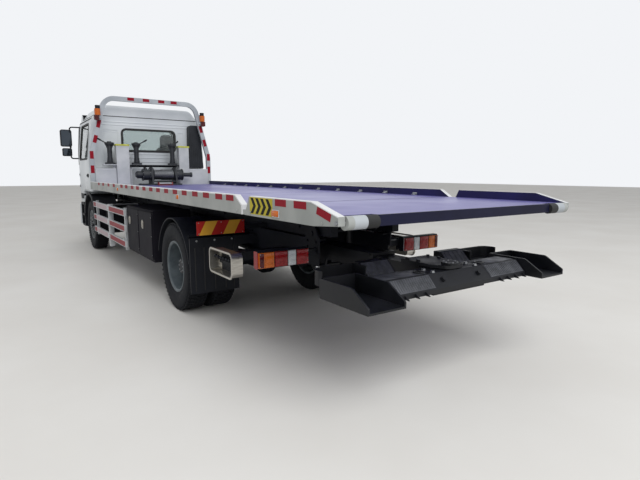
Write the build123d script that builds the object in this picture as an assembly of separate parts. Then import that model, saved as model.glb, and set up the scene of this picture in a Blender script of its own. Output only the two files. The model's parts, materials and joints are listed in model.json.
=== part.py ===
from build123d import *
import os
from math import cos, radians, sin

# Flatbed tow truck: two-axle cab-over chassis, sliding and tilting flatbed, underlift at the tail.
# Everything is drawn in millimetres from the point on the ground under the front axle:
# +X is the vehicle's left, +Y runs to the rear, +Z up. save() then moves each piece back
# so that the origin lies on the ground under the middle of the truck.

# Main sizes
FRONT_OVERHANG = 1400
REAR_REACH = 8800
SHIFT_Y = (FRONT_OVERHANG - REAR_REACH) / 2
WHEELBASE = 5475

# Wheels
TYRE_RADIUS = 509
TYRE_WIDTH = 255
RIM_RADIUS = 298
RIM_BED = 282
RIM_HALF = 95
FRONT_TRACK_X = 1062
REAR_OUTER_X = 1063
REAR_INNER_X = 743
KINGPIN_X = 900
TRACK_ROD_Y = 190
SPINDLE_RADIUS = 40
RUNNING_GAP = 0.05

# Chassis
RAIL_X = 430
RAIL_BOTTOM = 730
RAIL_TOP = 980
RAIL_FRONT = -1120
RAIL_REAR = 7340
CAB_HINGE = (-1310, 800)
TILT_HINGE = (7250, 1030)
REAR_SEAT = 610
GUARD_SPAN = (690, 3290)
GUARD_DIVIDER = 2110
GUARD_RAILS = (450, 690, 930)

# Tilting frame and bed
TILT_BEAM_X = (330, 410)
TILT_BEAM_Z = (995, 1125)
RUNNER_Z = (1136, 1265)
DECK_UNDER = 1327
DECK_TOP = 1335
BED_FRONT = 500
BED_REAR = 8700
BED_HALF = 1240
SIDE_BEAM_TOP = 1410
SIDE_BEAM_BOTTOM = 1260
HOOP_Y = 545
HEAD_REAR = 1060
WINCH_AXIS = (900, 1545)
TAIL_ROLLER = (8705, 1295)
TILT_BARREL_PIN = (4650, 600)
TILT_ROD_PIN = (6200, 1050)
SLIDE_Z = 1082

# Cab
CAB_HALF = 1200
CAB_FRONT = -1370
CAB_REAR = 270
CAB_TOP = 2950
ROOF_SEAM = 2735
CAB_SILL = 1205
SKIRT_BOTTOM = 950
CAB_WALL = 45
GLASS_DEPTH = 14
DOOR_FRONT = -1060
DOOR_REAR = 105
DOOR_GAP = 6
DOOR_HINGE = (1200, -1060)
DOOR_HINGE_HEIGHTS = (1290, 1540)

# Underlift
BOOM_HINGE = (6200, 800)
CROSSBAR_Y = 8500
CROSSBAR_Z = (740, 865)
LIFT_PIN_Y = 6960
LIFT_TOP_Z = 1050
LIFT_LOW_Z = 650
LIFT_X = 205
SOCKET_X = 345
SOCKET_BORE = 26


# Plain shapes

def block(x, y, z):
    size = (x[1] - x[0], y[1] - y[0], z[1] - z[0])
    middle = ((x[0] + x[1]) / 2, (y[0] + y[1]) / 2, (z[0] + z[1]) / 2)
    return Pos(*middle) * Box(*size)


def span(side, a, b):
    """The x range from a to b on the given side of the truck."""
    return (min(side * a, side * b), max(side * a, side * b))


def profile(corners):
    """A flat face from corners given as (u, v) or (u, v, fillet radius)."""
    corners = [c if len(c) == 3 else (*c, 0) for c in corners]
    face = make_face(Polyline(*[(u, v) for u, v, _ in corners], close=True))
    for radius in sorted({c[2] for c in corners if c[2]}):
        spots = [(u, v) for u, v, r in corners if r == radius]
        picked = [p for p in face.vertices() if any(abs(p.X - u) + abs(p.Y - v) < 0.01 for u, v in spots)]
        face = fillet(picked, radius)
    return face


def along_x(face, x0, x1):
    """Pushes a face drawn as (y, z) from x0 to x1."""
    return extrude(Plane.YZ.offset(x0) * face, amount=x1 - x0)


def along_y(face, y0, y1):
    """Pushes a face drawn as (x, z) from y0 to y1."""
    return extrude(Plane.XZ.offset(-y1) * face, amount=y1 - y0)


def along_z(face, z0, z1):
    """Pushes a face drawn as (x, y) from z0 to z1."""
    return extrude(Plane.XY.offset(z0) * face, amount=z1 - z0)


def rod(start, end, radius, bore=0):
    run = Vector(*end) - Vector(*start)
    section = Circle(radius)
    if bore:
        section = section - Circle(bore)
    return extrude(Plane(origin=start, z_dir=run) * section, amount=run.length)


def turned(outline, x):
    """Turns a face drawn as (radius, distance along X) about the X axis through (x, 0, 0)."""
    flat = Plane(origin=(x, 0, 0), x_dir=(0, 0, 1), z_dir=(0, 1, 0)) * outline
    return revolve(flat, axis=Axis((x, 0, 0), (1, 0, 0)))


def arc_band(centre, inner, outer, start, end):
    """A flat ring sector; angles in degrees from +u."""
    def spot(radius, angle):
        return (centre[0] + radius * cos(radians(angle)), centre[1] + radius * sin(radians(angle)))
    middle = (start + end) / 2
    edges = [
        ThreePointArc(spot(outer, start), spot(outer, middle), spot(outer, end)),
        Line(spot(outer, end), spot(inner, end)),
        ThreePointArc(spot(inner, end), spot(inner, middle), spot(inner, start)),
        Line(spot(inner, start), spot(outer, start)),
    ]
    return make_face(edges)


def other_side(shape):
    return mirror(shape, about=Plane.YZ)


def both(*shapes):
    """Each shape and its mirror image on the other side of the truck."""
    return [copy for shape in shapes for copy in (shape, other_side(shape))]


def joined(*parts):
    flat = []
    for part in parts:
        flat.extend(part if isinstance(part, (list, tuple)) else [part])
    return Part() + flat


def near(first, second):
    """Whether two bounding boxes share space."""
    ends = [(first.min, second.max), (second.min, first.max)]
    return all(low < high for lows, highs in ends for low, high in zip(lows, highs))


def seated(pieces):
    """Cuts each piece back by those before it, so that neighbours touch and never overlap."""
    done = []
    for piece in pieces:
        box = piece.bounding_box()
        for earlier, earlier_box in done:
            if near(box, earlier_box):
                piece = piece - earlier
        done.append((piece, box))
    return [piece for piece, box in done]


def save(name, *groups):
    """Writes one node; every piece handed in stays a solid of its own."""
    pieces = []
    for group in groups:
        pieces.extend(group if isinstance(group, (list, tuple)) else [group])
    solids = [solid for piece in seated(pieces) for solid in piece.solids()]
    export_step(Compound(solids).moved(Location((0, SHIFT_Y, 0))), f"parts/{name}.step")


# Chassis

def chassis_frame():
    web = 8
    flange = 80
    rail = profile([
        (RAIL_X, RAIL_BOTTOM), (RAIL_X, RAIL_TOP), (RAIL_X - flange, RAIL_TOP),
        (RAIL_X - flange, RAIL_TOP - web), (RAIL_X - web, RAIL_TOP - web),
        (RAIL_X - web, RAIL_BOTTOM + web), (RAIL_X - flange, RAIL_BOTTOM + web),
        (RAIL_X - flange, RAIL_BOTTOM),
    ])
    parts = both(along_y(rail, RAIL_FRONT, RAIL_REAR))
    # crossmembers: y, half depth, bottom, top
    crossmembers = [
        (-1070, 40, 760, 950),
        (1340, 45, 830, 950),
        (2620, 45, 770, 950),
        (3700, 45, 800, 950),
        (4650, 45, 800, 950),
        (5930, 35, 735, 825),
    ]
    for y, half, low, high in crossmembers:
        inside = RAIL_X - web
        tube = block((-inside, inside), (y - half, y + half), (low, high))
        hollow = block((-inside, inside), (y - half + 8, y + half - 8), (low + 8, high - 8))
        parts.append(tube - hollow)
    # cylinder anchors: a pin on each side between a hanging plate and the rail
    anchor_y, anchor_z = TILT_BARREL_PIN
    parts.extend(both(rod((126, anchor_y, anchor_z), (RAIL_X - web, anchor_y, anchor_z), 25)))
    for x0, x1 in ((118, 134), (RAIL_X - web - 14, RAIL_X - web)):
        parts.extend(both(block((x0, x1), (anchor_y - 50, anchor_y + 50), (anchor_z - 45, 820))))
    # rubber strips that the tilting frame rests on
    for y in range(1000, 7000, 1000):
        parts.extend(both(block(TILT_BEAM_X, (y - 120, y + 120), (RAIL_TOP, TILT_BEAM_Z[0] - 1))))
    # rear hinge ears and their short pins
    ear = profile([
        (7140, 860), (7360, 860), (7360, 1000, 60), (7310, 1095, 45), (7190, 1095, 45), (7140, 1000, 60),
    ])
    pin_y, pin_z = TILT_HINGE
    parts.extend(both(rod((TILT_BEAM_X[0] - 20, pin_y, pin_z), (RAIL_X + 30, pin_y, pin_z), 25)))
    parts.extend(both(along_x(ear, RAIL_X, RAIL_X + 20)))
    # front brackets for the cab hinge
    hinge_y, hinge_z = CAB_HINGE
    arm = profile([
        (RAIL_FRONT + 60, 740), (RAIL_FRONT + 60, 900), (hinge_y - 28, 850, 30), (hinge_y - 28, 755, 25),
    ])
    parts.extend(both(rod((RAIL_X - 84, hinge_y, hinge_z), (RAIL_X, hinge_y, hinge_z), 16)))
    for x0 in (RAIL_X - 80, RAIL_X - 18):
        parts.extend(both(along_x(arm, x0, x0 + 14)))
    return parts


def leaf_pack(y, seat_z, half_length, rise, leaves, x, width=70, leaf=14):
    """Leaves stacked upwards from the seat, shortest at the bottom, bent to one common arc."""
    radius = (half_length ** 2 + rise ** 2) / (2 * rise)
    full = 2 * 57.2958 * half_length / radius / 2
    parts = []
    for number in range(leaves):
        share = 0.45 + 0.55 * (number + 1) / leaves
        # the arc centre stays above, so higher leaves have a smaller radius
        inner = radius - (number + 1) * leaf
        band = arc_band((y, seat_z + radius), inner, inner + leaf, 270 - full * share, 270 + full * share)
        parts.append(along_x(band, x - width / 2, x + width / 2))
    return parts


def springs(y, seat_z, half_length, rise, leaves, x):
    leaf_solids = leaf_pack(y, seat_z, half_length, rise, leaves, x)
    hangers = []
    eye_z = seat_z + rise * 0.92 - 6
    for side in (-1, 1):
        eye_y = y + side * (half_length - 4)
        leaf_solids.append(rod((x - 40, eye_y, eye_z), (x + 40, eye_y, eye_z), 30))
        hanger = profile([
            (eye_y - 60, RAIL_BOTTOM), (eye_y - 30, eye_z - 35, 15), (eye_y + 30, eye_z - 35, 15),
            (eye_y + 60, RAIL_BOTTOM),
        ])
        plates = [along_x(hanger, x - 52, x - 40), along_x(hanger, x + 40, x + 52)]
        cross = block((x - 52, x + 52), (eye_y - 60, eye_y + 60), (RAIL_BOTTOM - 12, RAIL_BOTTOM))
        hangers.append(joined(plates, cross))
    # U-bolts and the clamp plate over the seat
    top = seat_z + leaves * 14
    clamp = [block((x - 45, x + 45), (y - 90, y + 90), (top - 2, top + 22))]
    for bolt_y in (y - 60, y + 60):
        for bolt_x in (x - 42, x + 42):
            clamp.append(rod((bolt_x, bolt_y, seat_z - 95), (bolt_x, bolt_y, top + 40), 9))
    return [joined(leaf_solids), *hangers, joined(clamp)]


def front_axle():
    beam = profile([
        (-835, 430, 30), (-700, 420, 60), (-560, 350, 90), (560, 350, 90), (700, 420, 60), (835, 430, 30),
        (835, 560, 30), (690, 530, 60), (545, 445, 90), (-545, 445, 90), (-690, 530, 60), (-835, 560, 30),
    ])
    body = along_y(beam, -45, 45)
    groove = profile([(-520, 375, 15), (520, 375, 15), (520, 420, 15), (-520, 420, 15)])
    body -= along_y(groove, -60, -18) + along_y(groove, 18, 60)
    parts = [body]
    for side in (-1, 1):
        boss = rod((side * KINGPIN_X, 0, 425), (side * KINGPIN_X, 0, 595), 58, 24 + RUNNING_GAP)
        neck = block((min(side * 820, side * 850), max(side * 820, side * 850)), (-45, 45), (440, 580))
        parts.extend([boss, neck])
    return joined(parts)


def knuckle(side):
    """Forked stub axle: two ears and the kingpin round the beam's boss, spindle outwards."""
    x = side * KINGPIN_X
    inner, outer = KINGPIN_X + 66, KINGPIN_X + 96

    parts = [
        rod((x, 0, 360), (x, 0, 660), 24),
        rod((x, 0, 372), (x, 0, 422), 55),
        rod((x, 0, 598), (x, 0, 648), 55),
        block(span(side, KINGPIN_X, outer), (-50, 50), (372, 422)),
        block(span(side, KINGPIN_X, outer), (-50, 50), (598, 648)),
        block(span(side, inner, outer), (-62, 62), (372, 648)),
        rod((side * inner, 0, TYRE_RADIUS), (side * 1150, 0, TYRE_RADIUS), SPINDLE_RADIUS),
        rod((side * (outer - 4), 0, TYRE_RADIUS), (side * (outer + 4), 0, TYRE_RADIUS), 195),
    ]
    arm = profile([
        (x - 28, 0, 12), (x + 28, 0, 12), (side * (KINGPIN_X - 40) + 24, TRACK_ROD_Y, 20),
        (side * (KINGPIN_X - 40) - 24, TRACK_ROD_Y, 20),
    ])
    parts.append(along_z(arm, 374, 398))
    return joined(parts)


def tie_rod():
    end = KINGPIN_X - 40
    parts = [rod((-end, TRACK_ROD_Y - 12, 345), (end, TRACK_ROD_Y - 12, 345), 17)]
    for side in (-1, 1):
        parts.append(rod((side * end, TRACK_ROD_Y - 12, 322), (side * end, TRACK_ROD_Y - 12, 366), 30))
    return joined(parts)


def rear_axle():
    z = TYRE_RADIUS
    banjo = Pos(0, WHEELBASE, z) * Rot(0, 90, 0) * Cylinder(205, 190)
    banjo = fillet(banjo.edges(), 60)
    parts = [banjo]
    for side in (-1, 1):
        cone = Plane(origin=(side * 70, WHEELBASE, z), z_dir=(side, 0, 0))
        parts.append(loft([cone * Circle(150), cone.offset(170) * Circle(78)]))
        parts.append(rod((side * 200, WHEELBASE, z), (side * 640, WHEELBASE, z), 72))
        parts.append(rod((side * 640, WHEELBASE, z), (side * 1060, WHEELBASE, z), SPINDLE_RADIUS + 8))
        parts.append(rod((side * 560, WHEELBASE, z), (side * 575, WHEELBASE, z), 200))
    parts.append(rod((0, WHEELBASE - 330, z + 60), (0, WHEELBASE - 100, z + 40), 75))
    seats = both(block((445, 525), (WHEELBASE - 90, WHEELBASE + 90), (z + 50, REAR_SEAT)))
    return [joined(parts), *seats]


def power_unit():
    """The engine and gearbox as one plain block each, joined by the bell housing."""
    parts = [
        block((-300, 300), (-700, 420), (560, 1090)),
        block((-230, 230), (-640, 360), (480, 560)),
        block((-200, 200), (420, 620), (600, 960)),
        block((-160, 160), (620, 1080), (620, 920)),
        rod((0, 1080, 760), (0, 1140, 760), 55),
    ]
    # mounts out to the rails
    for y in (-560, 480):
        parts.extend(both(block((190, RAIL_X - 8), (y - 45, y + 45), (RAIL_BOTTOM + 10, RAIL_BOTTOM + 60))))
    return parts


def radiator():
    core = block((-330, 330), (-900, -830), (560, 1070))
    frame = block((-345, 345), (-910, -820), (530, 1085)) - block((-320, 320), (-950, -780), (575, 1045))
    feet = both(block((340, RAIL_X - 8), (-890, -840), (RAIL_BOTTOM + 10, RAIL_BOTTOM + 40)))
    return [frame, core, *feet]


def prop_shaft():
    front = (0, 1200, 760)
    middle = (0, 2500, 700)
    rear = (0, WHEELBASE - 390, TYRE_RADIUS + 64)
    parts = [rod(front, middle, 42), rod(middle, rear, 45)]
    for spot in (front, middle, rear):
        parts.append(Pos(*spot) * Sphere(60))
    # centre bearing hung from the crossmember
    return [joined(parts), block((-90, 90), (2580, 2610), (640, 770))]


def fuel_tank():
    """Rounded tank on the right rail with its two straps and brackets."""
    face = profile([(-1080, 430, 70), (-560, 430, 70), (-560, 920, 70), (-1080, 920, 70)])
    parts = [along_y(face, 1500, 2450)]
    band = profile([(-1088, 422, 76), (-552, 422, 76), (-552, 928, 76), (-1088, 928, 76)])
    for y in (1680, 2220):
        parts.append(along_y(band, y, y + 50))
        parts.append(block((-560, -RAIL_X), (y, y + 50), (520, 900)))
    parts.append(rod((-900, 1600, 910), (-900, 1600, 965), 45))
    # foot plate along the lower edge
    parts.append(block((-1088, -1020), (1500, 2450), (400, 422)))
    return parts


def battery_box():
    body = profile([(560, 520, 20), (1060, 520, 20), (1060, 900, 20), (560, 900, 20)])
    parts = [along_y(body, 900, 1500), block((RAIL_X, 560), (980, 1420), (740, 880))]
    return parts


def air_tanks():
    parts = []
    for y in (2050, 2650):
        tank = Pos(640, y, 800) * Rot(90, 0, 0) * Cylinder(120, 520)
        parts.append(fillet(tank.edges(), 45))
        parts.append(block((RAIL_X, 640), (y - 130, y - 110), (760, 900)))
        parts.append(block((RAIL_X, 640), (y + 110, y + 130), (760, 900)))
    return parts


def exhaust():
    body = Pos(-760, 1150, 660) * Rot(90, 0, 0) * Cylinder(170, 560)
    parts = [fillet(body.edges(), 30)]
    parts.append(block((-760, -RAIL_X), (1050, 1110), (760, 880)))
    route = FilletPolyline((-760, 875, 660), (-760, 770, 660), (-252, 770, 660), (-252, 421, 660), radius=60)
    parts.append(sweep(Plane(origin=route @ 0, z_dir=route % 0) * Circle(40), path=route))
    tail = FilletPolyline((-760, 1300, 520), (-760, 1300, 370), (-1120, 1300, 330), radius=60)
    parts.append(sweep(Plane(origin=tail @ 0, z_dir=tail % 0) * Circle(40), path=tail))
    return parts


def toolbox(side):
    """Double steel locker between the side guard and the rear wheels, two doors with one handle each."""
    y0, y1 = 3320, 4700
    body = block(span(side, 700, 1190), (y0, y1), (430, 1100)) - block(span(side, 712, 1178), (y0 + 12, y1 - 12), (442, 1088))
    parts = [body, block(span(side, RAIL_X, 700), (y0 + 100, y0 + 180), (760, 900))]
    parts.append(block(span(side, RAIL_X, 700), (y1 - 180, y1 - 100), (760, 900)))
    middle = (y0 + y1) / 2
    # leaf from, leaf to, middle of its oval latch
    for a, b, y in ((y0 + 20, middle - 8, 3510), (middle + 8, y1 - 20, 4230)):
        leaf = profile([(a, 460, 25), (b, 460, 25), (b, 1070, 25), (a, 1070, 25)])
        parts.append(along_x(leaf, *span(side, 1190, 1204)))
        dish = profile([(y - 40, 830, 39), (y + 40, 830, 39), (y + 40, 950, 39), (y - 40, 950, 39)])
        grip = profile([(y - 14, 848, 13), (y + 14, 848, 13), (y + 14, 932, 13), (y - 14, 932, 13)])
        parts.append(joined(along_x(dish, *span(side, 1204, 1210)), along_x(grip, *span(side, 1210, 1218))))
    return parts


def side_guard(side):
    """Three rails on posts hung from the chassis rail; the middle post divides the rails."""
    y0, y1 = GUARD_SPAN
    middle = GUARD_DIVIDER
    parts = [block(span(side, 1165, BED_HALF), (middle - 30, middle + 30), (320, 1050))]
    for low in GUARD_RAILS:
        parts.append(block(span(side, 1205, BED_HALF), (y0, y1), (low, low + 100)))
    for y in (y0 + 110, y1 - 120):
        parts.append(block(span(side, 1165, 1205), (y - 30, y + 30), (GUARD_RAILS[0] - 60, 1050)))
    for y in (y0 + 110, middle, y1 - 120):
        parts.append(block(span(side, RAIL_X, 1165), (y - 25, y + 25), (945, 970)))
    return parts


def front_mudguard(side):
    """Black arch over the steered wheel with a flap behind it, carried by the chassis."""
    parts = []
    # three pressed sections, butted end to end
    for start, end in ((-12, 50), (50, 106), (106, 162)):
        band = along_x(arc_band((0, TYRE_RADIUS), 620, 640, start, end), *span(side, 760, 1215))
        lip = along_x(arc_band((0, TYRE_RADIUS), 635, 680, start, end), *span(side, 1195, 1215))
        parts.append(joined(band, lip))
    parts.append(rod((side * RAIL_X, 560, 930), (side * 800, 560, 930), 22))
    parts.append(rod((side * RAIL_X, -540, 930), (side * 800, -540, 930), 22))
    return parts


def rear_mudguards():
    parts = []
    for start, end in ((12, 64), (64, 116), (116, 168)):
        band = arc_band((WHEELBASE, TYRE_RADIUS), 555, 567, start, end)
        parts.append(along_x(band, 610, 1200))
    for y in (WHEELBASE - 420, WHEELBASE + 420):
        parts.append(rod((RAIL_X, y, 900), (1150, y, 900), 20))
    parts.append(block((RAIL_X, 700), (WHEELBASE + 560, WHEELBASE + 600), (800, 900)))
    parts.append(block((640, 1195), (WHEELBASE + 572, WHEELBASE + 590), (300, 900)))
    return both(*parts)


def warning_boards():
    board = block((680, 1200), (6300, 6308), (960, 1100))
    arm = block((RAIL_X, 1150), (6260, 6300), (1000, 1050))
    return both(board, arm)


def control_box(side):
    """Open stainless box with the valve levers inside, facing outwards."""
    y0, y1, z0, z1 = 6500, 7010, 640, 862
    x0, x1 = span(side, 1035, 1150)
    outer = profile([(y0, z0, 45), (y1, z0, 45), (y1, z1, 45), (y0, z1, 45)])
    wall = 6
    inner = profile([
        (y0 + wall, z0 + wall, 39), (y1 - wall, z0 + wall, 39), (y1 - wall, z1 - wall, 39), (y0 + wall, z1 - wall, 39),
    ])
    hollow = span(side, 1035 + wall, 1200)
    shell = along_x(outer, x0, x1) - along_x(inner, *hollow)
    rim = profile([(y0 - 12, z0 - 12, 57), (y1 + 12, z0 - 12, 57), (y1 + 12, z1 + 12, 57), (y0 - 12, z1 + 12, 57)])
    lip = along_x(rim, *span(side, 1140, 1150)) - along_x(inner, *span(side, 1100, 1200))
    return [joined(shell, lip), block(span(side, RAIL_X, 1035), (6700, 6800), (760, 840))]


def levers():
    parts = [block((1041, 1070), (6560, 6960), (720, 780))]
    for number in range(6):
        y = 6590 + number * 66
        parts.append(joined(rod((1065, y, 750), (1125, y, 795), 7), Pos(1125, y, 795) * Sphere(15)))
    return both(*parts)


def tail_lamps(side):
    """Long lamp box in four fields, each field a little proud of its housing."""
    housing = profile([(7330, 785, 12), (7400, 785, 12), (7400, 935, 12), (7330, 935, 12)])
    parts = [along_x(housing, *span(side, 585, 1085))]
    # fields: x from, x to
    for x0, x1 in ((592, 715), (720, 800), (805, 930), (935, 1078)):
        field = block(span(side, x0, x1), (7398, 7414), (795, 925))
        parts.append(field)
    return parts


def lamp_brackets():
    arm = block((RAIL_X, 900), (7270, 7330), (840, 900))
    plate = block((560, 1000), (7318, 7330), (800, 920))
    return both(arm, plate)


# Front of the chassis

def bumper():
    outer = profile([
        (-1215, -1130), (-1215, -1290, 60), (-1100, -1392, 260), (0, -1400), (1100, -1392, 260), (1215, -1290, 60),
        (1215, -1130),
    ])
    inner = profile([
        (-1165, -1100), (-1165, -1270, 50), (-1070, -1345, 220), (0, -1355), (1070, -1345, 220), (1165, -1270, 50),
        (1165, -1100),
    ])
    shell = along_z(outer, 430, 885) - along_z(inner, 400, 900)
    shell = fillet(shell.edges().group_by(Axis.Z)[-1], 12)
    # openings: centre intake and two lamp pockets
    shell -= block((-420, 420), (-1500, -1300), (520, 640))
    parts = [shell]
    for side in (-1, 1):
        pocket = block((min(side * 640, side * 1110), max(side * 640, side * 1110)), (-1500, -1200), (660, 830))
        parts[0] = parts[0] - pocket
        carrier = (min(side * 350, side * 430), max(side * 350, side * 430))
        parts.append(block(carrier, (-1360, RAIL_FRONT + 30), (560, 640)))
        parts.append(block(carrier, (RAIL_FRONT, RAIL_FRONT + 90), (560, RAIL_BOTTOM)))
    for z in (555, 595):
        parts.append(block((-420, 420), (-1388, -1340), (z, z + 14)))
    return parts


def headlamps():
    parts = []
    for side in (-1, 1):
        glass = along_z(profile([
            (side * 640, -1330), (side * 640, -1388), (side * 1000, -1380, 90), (side * 1110, -1320, 40),
            (side * 1110, -1250), (side * 1060, -1250), (side * 980, -1320, 60),
        ]), 660, 830)
        parts.append(glass)
    return parts


def steps(side):
    """Two-tread entry box ahead of the wheel."""
    y0, y1 = -1120, -690
    inside = (y0 + 40, y1 - 40)
    cheek = profile([(780, 400, 30), (1205, 400, 60), (1205, 930), (780, 930)])
    cheek = cheek if side > 0 else profile([(-780, 400, 30), (-780, 930), (-1205, 930), (-1205, 400, 60)])
    parts = [along_y(cheek, y0, y0 + 40), along_y(cheek, y1 - 40, y1)]
    parts.append(block(span(side, 780, 1000), inside, (410, 930)))
    parts.append(block(span(side, 1000, 1060), inside, (680, 880)))
    # two treads and the top
    for z0, z1 in ((410, 450), (640, 680), (880, 930)):
        parts.append(block(span(side, 1000, 1200), inside, (z0, z1)))
    parts.append(block(span(side, RAIL_X, 780), (y0 + 120, y0 + 220), (760, 860)))
    return parts


# Cab

def cab_form(inset):
    """Body of the cab: three outlines crossed, all moved in by the same inset."""
    half = CAB_HALF - inset
    low, high = SKIRT_BOTTOM - 100, CAB_TOP + 10
    # the section and the side view are drawn oversize below the belt, so that only the plan shapes the walls there
    section = profile([
        (-half - 30, low), (-half - 30, 1604), (-1125 + inset, 2640, 120), (-900 + inset, CAB_TOP - inset, 150),
        (900 - inset, CAB_TOP - inset, 150), (1125 - inset, 2640, 120), (half + 30, 1604), (half + 30, low),
    ])
    side = profile([
        (CAB_FRONT - 30 + inset, low), (CAB_FRONT - 30 + inset, 1492), (-1240 + inset, 2600, 200),
        (-1116 + inset, CAB_TOP + 12 - inset, 160), (CAB_REAR - 40 - inset, CAB_TOP + 12 - inset, 90),
        (CAB_REAR + 10 - inset, ROOF_SEAM - 60, 60), (CAB_REAR + 10 - inset, low),
    ])
    plan = profile([
        (-half, CAB_REAR - inset, 60), (-half, CAB_FRONT + inset, 300 - inset),
        (half, CAB_FRONT + inset, 300 - inset), (half, CAB_REAR - inset, 60),
    ])
    solid = along_y(section, CAB_FRONT - 50, CAB_REAR + 50) & along_x(side, -CAB_HALF - 50, CAB_HALF + 50)
    return solid & along_z(plan, low, high)


def door_outline(grow):
    """Door edge as (y, z), with the rear lower corner cut back over the wheel."""
    return profile([
        (DOOR_FRONT - grow, 1010 - grow, 40), (-700 + grow, 1010 - grow, 40), (-560 + grow, CAB_SILL + 20 - grow, 60),
        (DOOR_REAR + grow, CAB_SILL + 20 - grow, 60), (DOOR_REAR + grow, 2640 + grow, 110),
        (DOOR_FRONT + 100 - grow, 2640 + grow, 110), (DOOR_FRONT - grow, 1850, 80),
    ])


def door_window(grow):
    return profile([
        (-930 - grow, 1880 - grow, 50), (45 + grow, 1880 - grow, 50), (45 + grow, 2560 + grow, 80),
        (-850 - grow, 2560 + grow, 80),
    ])


def windscreen_outline(grow):
    """Windscreen opening as (x, z)."""
    return profile([
        (-1010 - grow, 1800 - grow, 90), (1010 + grow, 1800 - grow, 90), (930 + grow, 2600 + grow, 110),
        (-930 - grow, 2600 + grow, 110),
    ])


def rear_window_outline(grow):
    return profile([
        (-530 - grow, 2060 - grow, 70), (530 + grow, 2060 - grow, 70), (530 + grow, 2460 + grow, 70),
        (-530 - grow, 2460 + grow, 70),
    ])


def cab_trim(y0, y1, z0, z1):
    return block((-1500, 1500), (y0, y1), (z0, z1))


def cab_solids():
    """All cab panels are cut from one hollow skin so that they meet as the real panels do."""
    skin = cab_form(0) - cab_form(CAB_WALL)
    wheel_space = cab_trim(-640, CAB_REAR + 50, 0, CAB_SILL)
    skin -= wheel_space
    skin -= cab_trim(CAB_FRONT - 50, CAB_REAR + 50, 0, SKIRT_BOTTOM)
    floor = cab_form(CAB_WALL - 8) & (
        cab_trim(CAB_FRONT, -600, 1100, 1140)
        + cab_trim(-640, CAB_REAR, CAB_SILL, CAB_SILL + 40)
        + cab_trim(-640, -600, 1100, CAB_SILL + 40)
    )
    floor -= block((-1500, 1500), (CAB_FRONT, CAB_FRONT + CAB_WALL), (0, 3000))
    glass_zone = along_y(windscreen_outline(0), CAB_FRONT - 60, -900)
    rear_zone = along_y(rear_window_outline(0), CAB_REAR - 120, CAB_REAR + 20)
    door_zone = along_x(door_outline(DOOR_GAP), 1040, 1300)
    door_room = along_x(door_outline(DOOR_GAP), CAB_HALF - CAB_WALL - DOOR_GAP, 1300)
    roof = skin & cab_trim(CAB_FRONT - 50, CAB_REAR + 50, ROOF_SEAM, 3000)
    body = skin & cab_trim(CAB_FRONT - 50, CAB_REAR + 50, SKIRT_BOTTOM, ROOF_SEAM)
    pane = cab_form(GLASS_DEPTH) - cab_form(GLASS_DEPTH + 6)
    windscreen = pane & glass_zone
    rear_glass = pane & rear_zone
    body = body - glass_zone - rear_zone - door_zone - other_side(door_zone)
    nose = block((-1080, 1080), (CAB_FRONT - 50, -1180), (SKIRT_BOTTOM - 20, 1720))
    front_panel = body & nose
    floor = floor - front_panel - door_room - other_side(door_room)
    body = cab_hinge_halves(body - nose + floor)
    return body, roof, grille_panel(front_panel), windscreen, rear_glass


def grille_panel(panel):
    """Recesses the air intakes into the front panel and sets their slats."""
    slats = []
    for low, high, half in ((1120, 1330, 700), (1440, 1560, 820)):
        frame = profile([(-half, low, 30), (half, low, 30), (half - 40, high, 30), (-half + 40, high, 30)])
        cut = along_y(frame, CAB_FRONT - 60, CAB_FRONT + 25)
        opened = panel & cut
        panel = panel - cut
        count = 4 if high - low > 150 else 2
        pitch = (high - low) / count
        for number in range(count):
            z = low + pitch * (number + 0.5)
            slats.append(opened & block((-900, 900), (CAB_FRONT - 60, CAB_FRONT + 25), (z - 14, z + 14)))
    return [panel, *slats]


def hinge_rod(low, high, radius, bore=0):
    """A stretch of the left door's hinge line."""
    x, y = DOOR_HINGE
    return rod((x, y, low), (x, y, high), radius, bore)


def cab_hinge_halves(body):
    """Gives the cab the fixed knuckles and pins of both doors and frees the space of the moving knuckles."""
    for middle in DOOR_HINGE_HEIGHTS:
        fixed = hinge_rod(middle - 45, middle - 21, 12) + hinge_rod(middle + 21, middle + 45, 12)
        pin = hinge_rod(middle - 45, middle + 45, 6)
        moving = hinge_rod(middle - 21, middle + 21, 13)
        for mirrored in (False, True):
            cut, added = (other_side(moving), other_side(fixed + pin)) if mirrored else (moving, fixed + pin)
            body = body - cut + added
    return body


def door(side):
    skin = cab_form(0) - cab_form(CAB_WALL)
    zone = along_x(door_outline(0), 1040, 1300)
    panel = skin & zone
    window = along_x(door_window(0), 900, 1300)
    glass = (cab_form(GLASS_DEPTH) - cab_form(GLASS_DEPTH + 6)) & zone & window
    panel -= window
    grip = profile([(CAB_HALF - 8, -60), (CAB_HALF + 22, -45, 10), (CAB_HALF + 22, 75, 10), (CAB_HALF - 8, 90)])
    handle = along_z(grip, 1505, 1545) - block((CAB_HALF, CAB_HALF + 12), (-40, 70), (1490, 1560))
    panel += handle
    for middle in DOOR_HINGE_HEIGHTS:
        panel += hinge_rod(middle - 20, middle + 20, 12)
        panel -= hinge_rod(middle - 46, middle - 20, 13) + hinge_rod(middle + 20, middle + 46, 13)
        panel -= hinge_rod(middle - 46, middle + 46, 6 + RUNNING_GAP)
    if side < 0:
        return other_side(panel), other_side(glass)
    return panel, glass


def dashboard():
    face = profile([
        (-1300, 1500, 30), (-1240, 1760, 40), (-960, 1740, 60), (-880, 1560, 50), (-960, 1400, 40), (-1290, 1400),
    ])
    return along_x(face, -1100, 1100) & cab_form(CAB_WALL + 2)


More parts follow.
